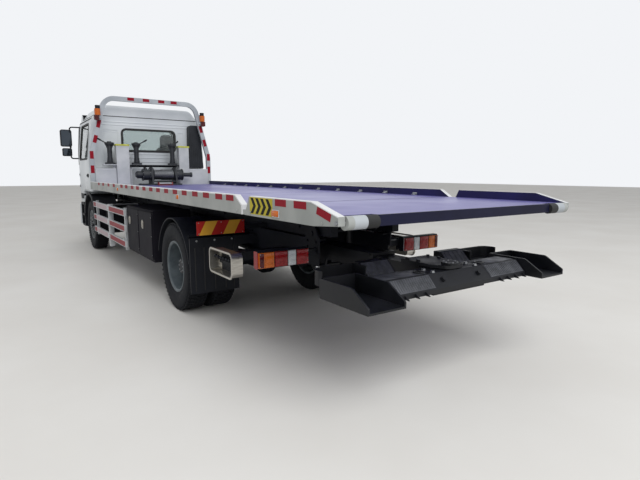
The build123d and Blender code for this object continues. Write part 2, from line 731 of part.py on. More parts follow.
def steering_wheel():
    centre = (560, -760, 1830)
    plane = Plane(origin=centre, z_dir=(0, 0.45, 1))
    rim = plane * Torus(215, 16)
    hub = plane * Cylinder(48, 40)
    parts = [rim, hub]
    for angle in (0, 120, 240):
        start = plane.from_local_coords((40 * cos(radians(angle)), 40 * sin(radians(angle)), 0))
        end = plane.from_local_coords((212 * cos(radians(angle)), 212 * sin(radians(angle)), 0))
        parts.append(rod(tuple(start), tuple(end), 12))
    column = plane.from_local_coords((0, 0, -330))
    parts.append(rod(centre, tuple(column), 26))
    return joined(parts)


def seat(x, half):
    """Cushion on a plinth, reclined back and a tall head part."""
    floor = CAB_SILL + 40
    base = profile([(-590, floor), (-150, floor), (-150, 1500, 20), (-590, 1500, 20)])
    cushion = profile([(-660, 1500, 30), (-120, 1480, 30), (-130, 1590, 40), (-660, 1640, 45)])
    back = profile([(-160, 1560, 30), (-30, 1540, 30), (60, 2200, 50), (60, 2440, 35), (-30, 2440, 35), (-60, 2190, 60)])
    parts = [
        along_x(base, x - half + 40, x + half - 40),
        along_x(cushion, x - half, x + half),
        along_x(back, x - half, x + half),
    ]
    return parts


def mirror_set(side):
    """Arm from the front pillar with the main mirror and the wide-angle one below."""
    y0, y1 = -1270, -1180
    main = profile([(1300, 2160, 40), (1525, 2160, 40), (1525, 2530, 40), (1300, 2530, 40)])
    low = profile([(1310, 1950, 30), (1500, 1950, 30), (1500, 2125, 30), (1310, 2125, 30)])
    parts = [along_y(main, y0, y1), along_y(low, y0 + 10, y1)]
    route = FilletPolyline(
        (1105, -1200, 2590), (1330, -1225, 2590), (1330, -1225, 1900), (1175, -1200, 1900), radius=45)
    arm = sweep(Plane(origin=route @ 0, z_dir=route % 0) * Circle(14), path=route)
    parts.append(arm - cab_form(0))
    if side < 0:
        parts = [other_side(part) for part in parts]
    return parts


def snorkel():
    """Ribbed air intake behind the right rear corner of the cab."""
    body = profile([(-1130, 1690, 20), (-800, 1690, 20), (-820, 2620, 60), (-1060, 2620, 60)])
    parts = [along_y(body, CAB_REAR + 25, CAB_REAR + 165)]
    for number in range(7):
        x = -1085 + number * 42
        parts.append(block((x - 8, x + 8), (CAB_REAR + 160, CAB_REAR + 172), (1730, 2540)))
    for z in (1800, 2400):
        parts.append(block((-980, -900), (CAB_REAR, CAB_REAR + 30), (z, z + 60)))
    return parts


def sun_visor():
    """Visor over the windscreen with closed ends, on two brackets."""
    plate = profile([(-1385, 2690), (-1373, 2690), (-1185, 2868), (-1197, 2868)])
    cheek = profile([(-1385, 2690), (-1150, 2690), (-1120, 2800), (-1197, 2868)])
    bracket = profile([(-1335, 2737), (-1120, 2780), (-1120, 2830), (-1237, 2830)])
    parts = [along_x(plate, -1060, 1060), *both(along_x(cheek, 1050, 1060)), *both(along_x(bracket, 470, 490))]
    return joined(parts) - cab_form(0)


def cab_feet():
    """Hinge lugs at the front and the rear rests of the cab."""
    parts = []
    hinge_y, hinge_z = CAB_HINGE
    # the lug is cranked back so that it clears the bumper's top edge when the cab is tilted
    cranked = [(-24, -24, 20), (50, -30, 20), (150, 70, 30), (150, 300), (75, 300), (75, 110, 20), (-24, 22, 20)]
    lug = profile([(hinge_y + u, hinge_z + v, *r) for u, v, *r in cranked])
    for side in (-1, 1):
        x0, x1 = (RAIL_X - 62, RAIL_X - 22) if side > 0 else (-RAIL_X + 22, -RAIL_X + 62)
        bore = rod((x0 - 5, hinge_y, hinge_z), (x1 + 5, hinge_y, hinge_z), 16 + RUNNING_GAP)
        parts.append(along_x(lug, x0, x1) - bore)
    return parts


# Tilting frame

def tilt_frame():
    parts = []
    front, rear = 760, 7500
    # the underside rises behind the hinge so that it clears the chassis when the frame tilts
    relief = profile([(7270, 900), (7270, 980), (7345, 1018), (7520, 1018), (7520, 900)])
    for side in (-1, 1):
        x0, x1 = TILT_BEAM_X if side > 0 else (-TILT_BEAM_X[1], -TILT_BEAM_X[0])
        outer = block((x0, x1), (front, rear), TILT_BEAM_Z)
        inner = block((x0 + 8, x1 - 8), (front - 5, rear + 5), (TILT_BEAM_Z[0] + 8, TILT_BEAM_Z[1] - 8))
        bush = rod((x0, *TILT_HINGE), (x1, *TILT_HINGE), 45)
        beam = outer - inner - along_x(relief, x0 - 5, x1 + 5) + bush
        beam += block((x0, x1), (7440, rear), (1018, 1130))
        beam -= rod((x0 - 5, *TILT_HINGE), (x1 + 5, *TILT_HINGE), 25 + RUNNING_GAP)
        parts.append(beam)
        # guide plates that keep the bed runners on the beams
        for y in (1500, 3300, 5100, 6900):
            guide = (x1 + 5, x1 + 17) if side > 0 else (x0 - 17, x0 - 5)
            step = (x1, x1 + 17) if side > 0 else (x0 - 17, x0)
            parts.append(block(guide, (y - 90, y + 90), (1060, 1175)))
            parts.append(block(step, (y - 90, y + 90), (1060, 1110)))
            parts.append(block((x0 + 5, x1 - 5), (y - 150, y + 150), (TILT_BEAM_Z[1], TILT_BEAM_Z[1] + 6)))
    inside = TILT_BEAM_X[0]
    parts.append(slide_barrel())
    for y in (800, 2000, 3300, 5400, 6302):
        angle = profile([(y - 30, 1000), (y + 30, 1000), (y + 30, 1025), (y - 18, 1025), (y - 18, 1040), (y - 30, 1040)])
        parts.append(along_x(angle, -inside, inside))
    # anchor pins of the tilt cylinders' rods
    parts.extend(both(rod((170, *TILT_ROD_PIN), (inside, *TILT_ROD_PIN), 20)))
    # hanger plates of the underlift boom
    pivot_y, pivot_z = BOOM_HINGE
    hanger = profile([
        (pivot_y - 110, 1000), (pivot_y - 60, pivot_z - 60, 50), (pivot_y + 60, pivot_z - 60, 50), (pivot_y + 200, 1000),
    ])
    parts.append(rod((-160, pivot_y, pivot_z), (160, pivot_y, pivot_z), 30))
    for x0 in (-152, 132):
        parts.append(along_x(hanger, x0, x0 + 20))
    parts.append(block((-160, 160), (pivot_y - 110, pivot_y + 200), (1000, 1012)))
    # pins for the lift cylinders and the crossmember behind them
    parts.append(block((-inside, inside), (LIFT_PIN_Y + 110, LIFT_PIN_Y + 150), (1000, 1025)))
    parts.extend(both(rod((LIFT_X - 27, LIFT_PIN_Y, LIFT_TOP_Z), (inside, LIFT_PIN_Y, LIFT_TOP_Z), 18)))
    return parts


def tilt_barrels():
    start = Vector(0, *TILT_BARREL_PIN)
    run = Vector(0, *TILT_ROD_PIN) - start
    unit = run.normalized()
    parts = []
    for x in (-215, 215):
        low = Vector(x, start.Y, start.Z)
        eye = rod((x - 35, start.Y, start.Z), (x + 35, start.Y, start.Z), 55)
        barrel = rod(tuple(low + unit * 40), tuple(low + unit * 1330), 62, 34)
        collar = rod(tuple(low + unit * 1270), tuple(low + unit * 1330), 70, 34)
        bore = rod((x - 40, start.Y, start.Z), (x + 40, start.Y, start.Z), 25 + RUNNING_GAP)
        parts.append((eye + barrel + collar) - bore)
    return parts


def tilt_rods():
    start = Vector(0, *TILT_BARREL_PIN)
    end = Vector(0, *TILT_ROD_PIN)
    unit = (end - start).normalized()
    parts = []
    for x in (-215, 215):
        low = Vector(x, start.Y, start.Z)
        top = Vector(x, end.Y, end.Z)
        shaft = rod(tuple(low + unit * 560), tuple(top - unit * 45), 32)
        eye = rod((x - 30, end.Y, end.Z), (x + 30, end.Y, end.Z), 52, 34)
        parts.append(shaft + eye)
    return parts


def slide_barrel():
    tube = rod((0, 860, SLIDE_Z), (0, 5000, SLIDE_Z), 50, 30)
    return joined(tube, rod((0, 860, SLIDE_Z), (0, 900, SLIDE_Z), 58))


def slide_rod():
    parts = [rod((0, 1000, SLIDE_Z), (0, 5230, SLIDE_Z), 28)]
    parts.append(block((-45, 45), (5190, 5260), (SLIDE_Z - 34, SLIDE_Z + 40)))
    parts.append(block((-40, 40), (5200, 5250), (SLIDE_Z, RUNNER_Z[1])))
    return [parts[0], joined(parts[1:])]


# Bed

def bed_deck():
    # head plate under hoop and winch, then the open deck
    parts = [
        block((-1190, 1190), (BED_FRONT, HEAD_REAR), (DECK_UNDER, DECK_TOP)),
        block((-1190, 1190), (HEAD_REAR, BED_REAR), (DECK_UNDER, DECK_TOP)),
    ]
    for side in (-1, 1):
        x0, x1 = TILT_BEAM_X if side > 0 else (-TILT_BEAM_X[1], -TILT_BEAM_X[0])
        runner = profile([
            (BED_FRONT + 20, RUNNER_Z[0]), (7700, RUNNER_Z[0]), (8050, RUNNER_Z[1] - 50), (8050, RUNNER_Z[1]),
            (BED_FRONT + 20, RUNNER_Z[1]),
        ])
        body = along_x(runner, x0, x1)
        hollow = block((x0 + 8, x1 - 8), (BED_FRONT, 7600), (RUNNER_Z[0] + 8, RUNNER_Z[1] - 8))
        parts.append(body - hollow)
    # crossmembers under the deck, one channel each
    count = 17
    for number in range(count):
        y = BED_FRONT + 60 + number * (BED_REAR - BED_FRONT - 140) / (count - 1)
        channel = profile([
            (y - 25, RUNNER_Z[1]), (y + 25, RUNNER_Z[1]), (y + 25, RUNNER_Z[1] + 6), (y - 19, RUNNER_Z[1] + 6),
            (y - 19, DECK_UNDER), (y - 25, DECK_UNDER),
        ])
        parts.append(along_x(channel, -1190, 1190))
    parts.append(block((-930, 930), (BED_REAR - 6, BED_REAR + 22), (RUNNER_Z[1], DECK_TOP)))
    roller_y, roller_z = TAIL_ROLLER
    for corner in both(block((922, 1191), (roller_y - 52, BED_REAR + 60), (1200, 1360))):
        parts[1] -= corner
    return [*parts, *both(block((922, 934), (roller_y - 52, BED_REAR + 22), (RUNNER_Z[1], DECK_TOP)))]


def side_beams():
    """Box edge beams with the loading notch ahead of the tail and the sloped ends."""
    front_part = profile([
        (BED_FRONT, SIDE_BEAM_BOTTOM), (7450, SIDE_BEAM_BOTTOM), (7450, 1335), (7325, SIDE_BEAM_TOP),
        (BED_FRONT, SIDE_BEAM_TOP),
    ])
    rear_part = profile([
        (7500, SIDE_BEAM_BOTTOM), (8460, SIDE_BEAM_BOTTOM, 200), (BED_REAR + 20, 1280), (BED_REAR + 20, 1335),
        (8440, SIDE_BEAM_TOP),
        (7580, SIDE_BEAM_TOP),
    ])
    sill = profile([(7440, SIDE_BEAM_BOTTOM), (7510, SIDE_BEAM_BOTTOM), (7510, 1300), (7440, 1300)])
    parts = []
    for face in (front_part, rear_part):
        parts.append(along_x(face, BED_HALF - 50, BED_HALF))
    parts.append(along_x(sill, BED_HALF - 50, BED_HALF - 10))
    # fixed shaft of the tail roller
    roller_y, roller_z = TAIL_ROLLER
    parts.append(rod((934, roller_y, roller_z), (BED_HALF - 50, roller_y, roller_z), 12))
    return both(*parts)


def hoop():
    half = 1195
    path = FilletPolyline(
        (half, HOOP_Y, SIDE_BEAM_TOP), (half, HOOP_Y, 1930), (905, HOOP_Y, 3045), (-905, HOOP_Y, 3045),
        (-half, HOOP_Y, 1930), (-half, HOOP_Y, SIDE_BEAM_TOP), radius=240)
    section = Plane(origin=path @ 0, x_dir=(1, 0, 0), z_dir=path % 0) * Rectangle(90, 60)
    parts = [sweep(section, path=path)]
    parts.extend(both(block((half - 45, BED_HALF - 50), (HOOP_Y - 30, HOOP_Y + 30), (DECK_TOP, SIDE_BEAM_TOP))))
    return parts


def rope_guards():
    """White sheet boxes across the front of the bed: low wings and two capped columns."""
    parts = []
    # x from, x to, height above the deck, depth
    boxes = [(765, 1150, 1670, 110), (-1150, -715, 1670, 110), (520, 760, 2120, 170), (-710, -500, 2120, 170)]
    for x0, x1, top, depth in boxes:
        parts.append(block((x0, x1), (BED_FRONT + 10, BED_FRONT + 10 + depth), (DECK_TOP, top)))
    return parts


def column_caps():
    parts = []
    for x0, x1 in ((505, 775), (-725, -485)):
        cap = profile([(x0, BED_FRONT, 15), (x1, BED_FRONT, 15), (x1, BED_FRONT + 190, 15), (x0, BED_FRONT + 190, 15)])
        parts.append(along_z(cap, 2120, 2150))
    return parts


def adapter_shelf():
    parts = [block((-480, 500), (BED_FRONT + 20, BED_FRONT + 60), (1700, 1745))]
    parts.append(block((760, 1010), (BED_FRONT + 20, BED_FRONT + 170), (1735, 1750)))
    for x in (-470, 450):
        parts.append(block((x, x + 40), (BED_FRONT + 20, BED_FRONT + 60), (DECK_TOP, 1700)))
    parts.append(block((775, 815), (BED_FRONT + 30, BED_FRONT + 90), (1670, 1735)))
    parts.append(block((-500, 760), (BED_FRONT + 60, BED_FRONT + 150), (1730, 1745)))
    return parts


def fork_adapters():
    """Three lift forks stored upright: foot, ribbed shank, head disc and a slanted lever."""
    parts = []
    # x, lever reach
    for x, reach in ((870, 190), (360, -190), (-375, -120)):
        y = BED_FRONT + 105
        foot = profile([(x - 95, y - 55, 30), (x + 95, y - 55, 30), (x + 95, y + 55, 30), (x - 95, y + 55, 30)])
        parts.append(along_z(foot, 1750, 1785))
        shank = profile([
            (x - 60, 1785), (x + 60, 1785), (x + 45, 1900, 40), (x + 45, 2060, 60), (x + 80, 2140), (x - 80, 2140),
            (x - 45, 2060, 60), (x - 45, 1900, 40),
        ])
        web = along_y(shank, y - 12, y + 12)
        core = rod((x, y, 1785), (x, y, 2140), 38)
        parts.append(joined(web, core))
        parts.append(rod((x, y, 2140), (x, y, 2180), 85))
        parts.append(rod((x, y, 2175), (x, y, 2200), 40))
        parts.append(rod((x, y, 2130), (x + reach, y, 2240), 11))
    return parts


def winch_body():
    """Hydraulic winch: two side plates, motor at the left, gearbox at the right, tie bars and base."""
    y, z = WINCH_AXIS
    parts = [block((-420, 380), (y - 150, y + 150), (DECK_TOP, DECK_TOP + 30))]
    plate = profile([(y - 150, DECK_TOP + 30), (y + 150, DECK_TOP + 30), (y + 110, z + 150, 60), (y - 110, z + 150, 60)])
    for x0 in (-330, 150):
        bore = rod((x0 - 5, y, z), (x0 + 35, y, z), 45 + RUNNING_GAP)
        parts.append(along_x(plate, x0, x0 + 30) - bore)
    # from each plate outwards: radius and end of every stage, and a bolted flange between
    for start, stages in ((180, ((128, 200), (108, 318), (120, 334), (72, 440), (55, 462))),
                          (-330, ((125, -350), (104, -455), (118, -474), (42, -650), (50, -682)))):
        for radius, end in stages:
            parts.append(rod((start, y, z), (end, y, z), radius))
            start = end
    for bar_y in (y - 120, y + 120):
        parts.append(rod((-300, bar_y, DECK_TOP + 75), (150, bar_y, DECK_TOP + 75), 16))
    return parts


def winch_drum():
    """Drum between the plates with its flanges and the wound rope."""
    y, z = WINCH_AXIS
    outline = profile([
        (0, -296), (138, -296), (138, -280), (88, -280), (88, 128), (138, 128), (138, 144), (0, 144),
    ])
    solid = turned(outline, 0)
    shaft = rod((-328, 0, 0), (178, 0, 0), 45)
    return [Pos(0, y, z) * joined(solid, shaft)]


def tail_rollers():
    parts = []
    for side in (-1, 1):
        spot = TAIL_ROLLER
        parts.append(rod((side * 940, *spot), (side * 1184, *spot), 42, 12 + RUNNING_GAP))
    return parts


def shoulder_lamps():
    """Stacked work and marker lamps at the hoop's shoulders."""
    parts = []
    for side in (-1, 1):
        for x, z0, z1, radius in ((1075, 2600, 2690, 48), (1055, 2695, 2815, 55), (1050, 2820, 2880, 45)):
            parts.append(rod((side * x, HOOP_Y + 85, z0), (side * x, HOOP_Y + 85, z1), radius))
        parts.append(block((min(side * 1000, side * 1075), max(side * 1000, side * 1075)), (HOOP_Y + 30, HOOP_Y + 60), (2640, 2840)))
        parts.append(block((min(side * 1010, side * 1090), max(side * 1010, side * 1090)), (HOOP_Y + 40, HOOP_Y + 130), (2590, 2604)))
        parts.append(block((min(side * 1030, side * 1080), max(side * 1030, side * 1080)), (HOOP_Y + 60, HOOP_Y + 110), (2680, 2830)))
    return parts


# Underlift

def lift_boom():
    y, z = BOOM_HINGE
    outer = block((-120, 120), (y - 60, 7750), (z - 75, z + 75))
    outer -= block((-104, 104), (y + 80, 7800), (z - 59, z + 59))
    ends = rod((-120, y, z), (120, y, z), 75)
    outer = outer + ends - rod((-200, y, z), (200, y, z), 30 + RUNNING_GAP)
    lug = profile([
        (LIFT_PIN_Y - 60, z - 75), (LIFT_PIN_Y - 30, LIFT_LOW_Z - 35, 25), (LIFT_PIN_Y + 30, LIFT_LOW_Z - 35, 25),
        (LIFT_PIN_Y + 60, z - 75),
    ])
    collar = block((-132, 132), (7690, 7750), (z - 87, z + 87)) - block((-104, 104), (7680, 7760), (z - 59, z + 59))
    pin = rod((-240, LIFT_PIN_Y, LIFT_LOW_Z), (240, LIFT_PIN_Y, LIFT_LOW_Z), 18)
    return [pin, joined(outer, collar), *[along_x(lug, x0, x0 + 20) for x0 in (-120, 100)]]


def lift_extension():
    y, z = BOOM_HINGE
    inner = block((-102, 102), (6330, 8330), (z - 57, z + 57))
    inner -= block((-90, 90), (6320, 8200), (z - 45, z + 45))
    # head with the crossbar's pivot
    pivot = rod((0, CROSSBAR_Y, CROSSBAR_Z[0] + 20), (0, CROSSBAR_Y, z + 97), 40)
    parts = [pivot, rod((0, CROSSBAR_Y, z + 97), (0, CROSSBAR_Y, z + 112), 70), inner]
    parts.append(block((-140, 140), (8120, 8330), (z - 62, z + 62)))
    cheek = profile([
        (-150, 8300), (150, 8300), (150, 8420, 60), (90, CROSSBAR_Y + 60, 60), (-90, CROSSBAR_Y + 60, 60), (-150, 8420, 60),
    ])
    parts.append(along_z(cheek, z + 72, z + 97))
    parts.append(block((-150, 150), (8120, 8320), (z + 55, z + 97)))
    return parts


def crossbar():
    """Swinging beam with sloped tread plates, centre head and the end scoops."""
    z0, z1 = CROSSBAR_Z
    section = profile([(8385, z0), (8650, z0), (8650, z0 + 32), (8560, z1), (8385, z1)])
    beam = joined(along_x(section, -760, 760), block((-290, 290), (8400, 8600), (z0 - 30, z0)))
    beam -= rod((0, CROSSBAR_Y, z0 - 50), (0, CROSSBAR_Y, 1000), 40 + RUNNING_GAP)
    parts = []
    # upright sockets that take the stored forks
    for x in (-SOCKET_X, SOCKET_X):
        beam -= rod((x, CROSSBAR_Y, z0 - 60), (x, CROSSBAR_Y, 1000), 42)
        parts.append(rod((x, CROSSBAR_Y, z0 - 40), (x, CROSSBAR_Y, z1 + 12), 42, SOCKET_BORE))
    parts.append(beam)
    # gussets under the sloped tread
    rib = profile([(8650, z0), (8690, z0), (8650, z0 + 30)])
    for x in (420, 520, 620, 720):
        parts.extend(both(along_x(rib, x - 5, x + 5)))
    for side in (-1, 1):
        # open trough at the beam's end: floor, outer wall with a sloped edge, rear lip
        wall = profile([
            (8290, z0, 12), (REAR_REACH, z0), (REAR_REACH, z0 + 45, 15), (8640, z0 + 140, 60), (8290, z0 + 140, 12),
        ])
        parts.append(along_x(wall, *span(side, 1061, 1075)))
        parts.append(along_x(wall, *span(side, 760, 774)))
        parts.append(block(span(side, 774, 1061), (8290, 8304), (z0, z0 + 140)))
        parts.append(block(span(side, 774, 1061), (8304, REAR_REACH), (z0, z0 + 14)))
    return parts


def front_cradles():
    """Second pair of sloped plates ahead of the crossbar, on arms that reach past the boom."""
    z0 = 780
    section = profile([(8060, z0), (8230, z0), (8230, z0 + 25), (8120, z0 + 130), (8060, z0 + 130)])
    parts = []
    for side in (-1, 1):
        parts.append(along_x(section, *span(side, 300, 600)))
        arm = profile([
            (side * 600, 8060, 10), (side * 1000, 8060, 90), (side * 1000, 8220, 60), (side * 600, 8220, 10),
        ])
        parts.append(along_z(arm, z0 + 10, z0 + 30))
        room = profile([(side * 612, 8072), (side * 986, 8072, 80), (side * 986, 8300), (side * 612, 8300)])
        parts.append(along_z(arm, z0 + 30, z0 + 120) - along_z(room, z0, z0 + 160))
        parts.append(block(span(side, 300, 360), (8200, 8400), (z0 - 10, z0 + 40)))
    return parts


def lift_barrels():
    parts = []
    for x in (-LIFT_X, LIFT_X):
        eye = rod((x - 22, LIFT_PIN_Y, LIFT_TOP_Z), (x + 22, LIFT_PIN_Y, LIFT_TOP_Z), 34)
        barrel = rod((x, LIFT_PIN_Y, LIFT_TOP_Z - 25), (x, LIFT_PIN_Y, LIFT_TOP_Z - 325), 42, 24)
        bore = rod((x - 30, LIFT_PIN_Y, LIFT_TOP_Z), (x + 30, LIFT_PIN_Y, LIFT_TOP_Z), 18 + RUNNING_GAP)
        parts.append(eye + barrel - bore)
    return parts


def lift_rods():
    parts = []
    for x in (-LIFT_X, LIFT_X):
        shaft = rod((x, LIFT_PIN_Y, LIFT_LOW_Z + 30), (x, LIFT_PIN_Y, LIFT_TOP_Z - 60), 22)
        eye = rod((x - 22, LIFT_PIN_Y, LIFT_LOW_Z), (x + 22, LIFT_PIN_Y, LIFT_LOW_Z), 34, 20)
        parts.append(shaft + eye)
    return parts


# Wheels

def tyre(x):
    half = TYRE_WIDTH / 2
    outline = profile([
        (RIM_BED, -RIM_HALF), (RIM_RADIUS, -RIM_HALF), (RIM_RADIUS + 10, -half + 22), (400, -half),
        (TYRE_RADIUS - 30, -half + 8), (TYRE_RADIUS, -half + 32), (TYRE_RADIUS, half - 32),
        (TYRE_RADIUS - 30, half - 8), (400, half), (RIM_RADIUS + 10, half - 22), (RIM_RADIUS, RIM_HALF),
        (RIM_BED, RIM_HALF),
    ])
    return turned(outline, x)


def rim(x, side, disc, dish=0):
    """Steel disc wheel: rolled rim and a disc with hand holes; disc is its offset towards side."""
    half = RIM_HALF
    outline = profile([
        (RIM_BED - 14, -half), (RIM_BED, -half - 12), (RIM_RADIUS, -half - 12), (RIM_RADIUS, -half), (RIM_BED, -half),
        (RIM_BED, half), (RIM_RADIUS, half), (RIM_RADIUS, half + 12), (RIM_BED, half + 12), (RIM_BED - 14, half),
    ])
    barrel = turned(outline, x)
    middle = x + side * disc
    plate = rod((middle - 7, 0, 0), (middle + 7, 0, 0), RIM_RADIUS - 20)
    plate -= rod((middle - 20, 0, 0), (middle + 20, 0, 0), 110)
    for number in range(8):
        angle = radians(number * 45)
        spot = (205 * cos(angle), 205 * sin(angle))
        plate -= rod((middle - 20, *spot), (middle + 20, *spot), 30)
    return joined(barrel, plate)


def front_wheel_rim(side):
    disc_x = FRONT_TRACK_X + 95
    body = rim(side * FRONT_TRACK_X, side, 95)
    centre = rod((side * 1005, 0, 0), (side * (disc_x + 10), 0, 0), 118, SPINDLE_RADIUS + RUNNING_GAP)
    cap = rod((side * 1152, 0, 0), (side * 1190, 0, 0), 75)
    drum = rod((side * 1002, 0, 0), (side * 1012, 0, 0), 200, SPINDLE_RADIUS + RUNNING_GAP)
    return Pos(0, 0, TYRE_RADIUS) * joined(body, centre, cap, drum)


def rear_wheel_rims(side):
    middle = (REAR_OUTER_X + REAR_INNER_X) / 2
    outer = rim(side * REAR_OUTER_X, side, -(REAR_OUTER_X - middle - 8))
    inner = rim(side * REAR_INNER_X, side, middle - REAR_INNER_X - 8)
    bore = SPINDLE_RADIUS + 8 + RUNNING_GAP
    centre = rod((side * 650, 0, 0), (side * 1062, 0, 0), 120, bore)
    cap = rod((side * 1062, 0, 0), (side * 1100, 0, 0), 85)
    return Pos(0, WHEELBASE, TYRE_RADIUS) * joined(outer, inner, centre, cap)


def main():
    os.makedirs("parts", exist_ok=True)
    save("chassis_frame", chassis_frame(), lamp_brackets())
    save("front_axle", front_axle(), both(*springs(0, 525, 640, 105, 3, 385)))
    save("rear_axle", rear_axle(), both(*springs(WHEELBASE, REAR_SEAT, 660, 60, 5, 485)))
    save("engine", power_unit(), radiator())
    save("prop_shaft", prop_shaft())
    save("fuel_tank", fuel_tank())
    save("battery_box", battery_box(), air_tanks())
    save("exhaust", exhaust())
    save("toolboxes", toolbox(1), toolbox(-1))
    save("side_guards", side_guard(1), side_guard(-1))
    save("mudguards", front_mudguard(1), front_mudguard(-1), rear_mudguards())
    save("warning_boards", warning_boards())
    save("control_boxes", control_box(1), control_box(-1), levers())
    save("tail_lamps", tail_lamps(1), tail_lamps(-1))
    save("bumper", bumper())
    save("headlamps", headlamps())
    save("steps", steps(1), steps(-1))
    body, roof, front_panel, windscreen, rear_glass = cab_solids()
    save("cab_shell", joined(body, cab_feet()))
    save("cab_roof", roof, sun_visor())
    save("front_panel", front_panel)
    save("cab_glass", windscreen, rear_glass)
    save("dashboard", dashboard(), steering_wheel())
    save("seats", seat(610, 235), seat(-440, 240))
    save("mirrors", mirror_set(1), mirror_set(-1))
    save("snorkel", snorkel())
    for side, name in ((1, "left"), (-1, "right")):
        panel, glass = door(side)
        save(f"door_{name}", panel)
        save(f"door_glass_{name}", glass)
        save(f"knuckle_{name}", knuckle(side))
        save(f"front_rim_{name}", front_wheel_rim(side))
        save(f"front_tyre_{name}", Pos(0, 0, TYRE_RADIUS) * tyre(side * FRONT_TRACK_X))
        save(f"rear_rims_{name}", rear_wheel_rims(side))
        twin = [tyre(side * REAR_INNER_X), tyre(side * REAR_OUTER_X)]
        save(f"rear_tyres_{name}", [Pos(0, WHEELBASE, TYRE_RADIUS) * one for one in twin])
    save("tie_rod", tie_rod())
    save("tilt_frame", tilt_frame())
    save("tilt_barrels", tilt_barrels())
    save("tilt_rods", tilt_rods())
    save("slide_rod", slide_rod())
    save("bed_deck", bed_deck())
    save("side_beams", side_beams())
    save("hoop", hoop())
    save("rope_guards", rope_guards(), column_caps(), adapter_shelf())
    save("fork_adapters", fork_adapters())
    save("winch_body", winch_body())
    save("winch_drum", winch_drum())
    save("tail_rollers", tail_rollers())
    save("shoulder_lamps", shoulder_lamps())
    save("lift_boom", lift_boom())
    save("lift_extension", lift_extension())
    save("crossbar", crossbar(), front_cradles())
    save("lift_barrels", lift_barrels())
    save("lift_rods", lift_rods())


main()
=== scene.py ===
import json
import math

import bmesh
import bpy
from mathutils import Matrix, Vector


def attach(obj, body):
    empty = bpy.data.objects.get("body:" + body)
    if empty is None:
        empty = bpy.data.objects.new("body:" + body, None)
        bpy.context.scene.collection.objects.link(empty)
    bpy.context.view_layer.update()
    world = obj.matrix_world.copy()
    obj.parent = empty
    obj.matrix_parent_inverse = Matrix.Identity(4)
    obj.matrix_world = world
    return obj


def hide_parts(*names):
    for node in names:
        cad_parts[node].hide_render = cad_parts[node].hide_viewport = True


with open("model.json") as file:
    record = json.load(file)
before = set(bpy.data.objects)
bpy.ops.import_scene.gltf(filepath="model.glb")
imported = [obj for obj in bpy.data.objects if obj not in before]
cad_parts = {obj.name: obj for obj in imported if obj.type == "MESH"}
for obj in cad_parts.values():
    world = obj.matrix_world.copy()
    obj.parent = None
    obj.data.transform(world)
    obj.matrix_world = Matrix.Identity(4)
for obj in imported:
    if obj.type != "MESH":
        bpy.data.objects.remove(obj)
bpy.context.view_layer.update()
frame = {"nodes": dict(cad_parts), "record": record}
nodes = frame["nodes"]
bodyOf = {node: body for body, members in frame["record"]["behaviour"]["bodies"].items() for node in members}
materials = {}
shiftY = -3.7  # sizes below are taken from the front axle, the frame's origin is the middle of the truck
outward, rearward, upward = (1, 0, 0), (0, 1, 0), (0, 0, 1)
sides = (("left", 1), ("right", -1))
weldDistance = 0.00005  # points of a solid that lie closer become one
creaseAngle = 0.55  # sharper folds are drawn as hard edges
print("frame:", len(nodes), "solids")


def linearColour(hexText):
    channels = [int(hexText[i:i + 2], 16) / 255 for i in (1, 3, 5)]
    return [c / 12.92 if c < 0.0405 else ((c + 0.055) / 1.055) ** 2.4 for c in channels] + [1.0]


def addNode(tree, kind, settings=None, links=None):
    node = tree.nodes.new(kind)
    for key, value in (settings or {}).items():
        if key == "ramp":
            for element, (spot, hexText) in zip(node.color_ramp.elements, value):
                element.position = spot
                element.color = linearColour(hexText)
        elif key in node.inputs.keys() or isinstance(key, int):
            node.inputs[key].default_value = value
        else:
            setattr(node, key, value)
    for key, source in (links or {}).items():
        tree.links.new(source, node.inputs[key])
    return node


def addNoise(tree, place, scale, detail):
    return addNode(tree, "ShaderNodeTexNoise", {"Scale": scale, "Detail": detail}, {"Vector": place}).outputs["Fac"]


def addMath(tree, operation, *terms):
    # a term is a number or the output of another node
    numbers = {place: term for place, term in enumerate(terms) if isinstance(term, float)}
    sources = {place: term for place, term in enumerate(terms) if place not in numbers}
    return addNode(tree, "ShaderNodeMath", {"operation": operation, **numbers}, sources).outputs[0]


def startMaterial(name, shaderSettings):
    material = bpy.data.materials.new(name)
    material.use_nodes = True
    materials[name] = material
    tree = material.node_tree
    tree.nodes.clear()
    shader = addNode(tree, "ShaderNodeBsdfPrincipled", shaderSettings)
    addNode(tree, "ShaderNodeOutputMaterial", {}, {"Surface": shader.outputs[0]})
    place = addNode(tree, "ShaderNodeTexCoord").outputs["Object"]
    return tree, shader, place


def colourBetween(tree, shader, factor, *stops):
    # the base colour runs between two stops, each a place on the ramp and a colour
    ramp = addNode(tree, "ShaderNodeValToRGB", {"ramp": stops}, {"Fac": factor})
    tree.links.new(ramp.outputs[0], shader.inputs["Base Color"])


def glossBetween(tree, shader, factor, start, end, low=0.3, high=0.7):
    spread = addNode(tree, "ShaderNodeMapRange", {"From Min": low, "From Max": high, "To Min": start, "To Max": end},
                     {"Value": factor})
    tree.links.new(spread.outputs[0], shader.inputs["Roughness"])


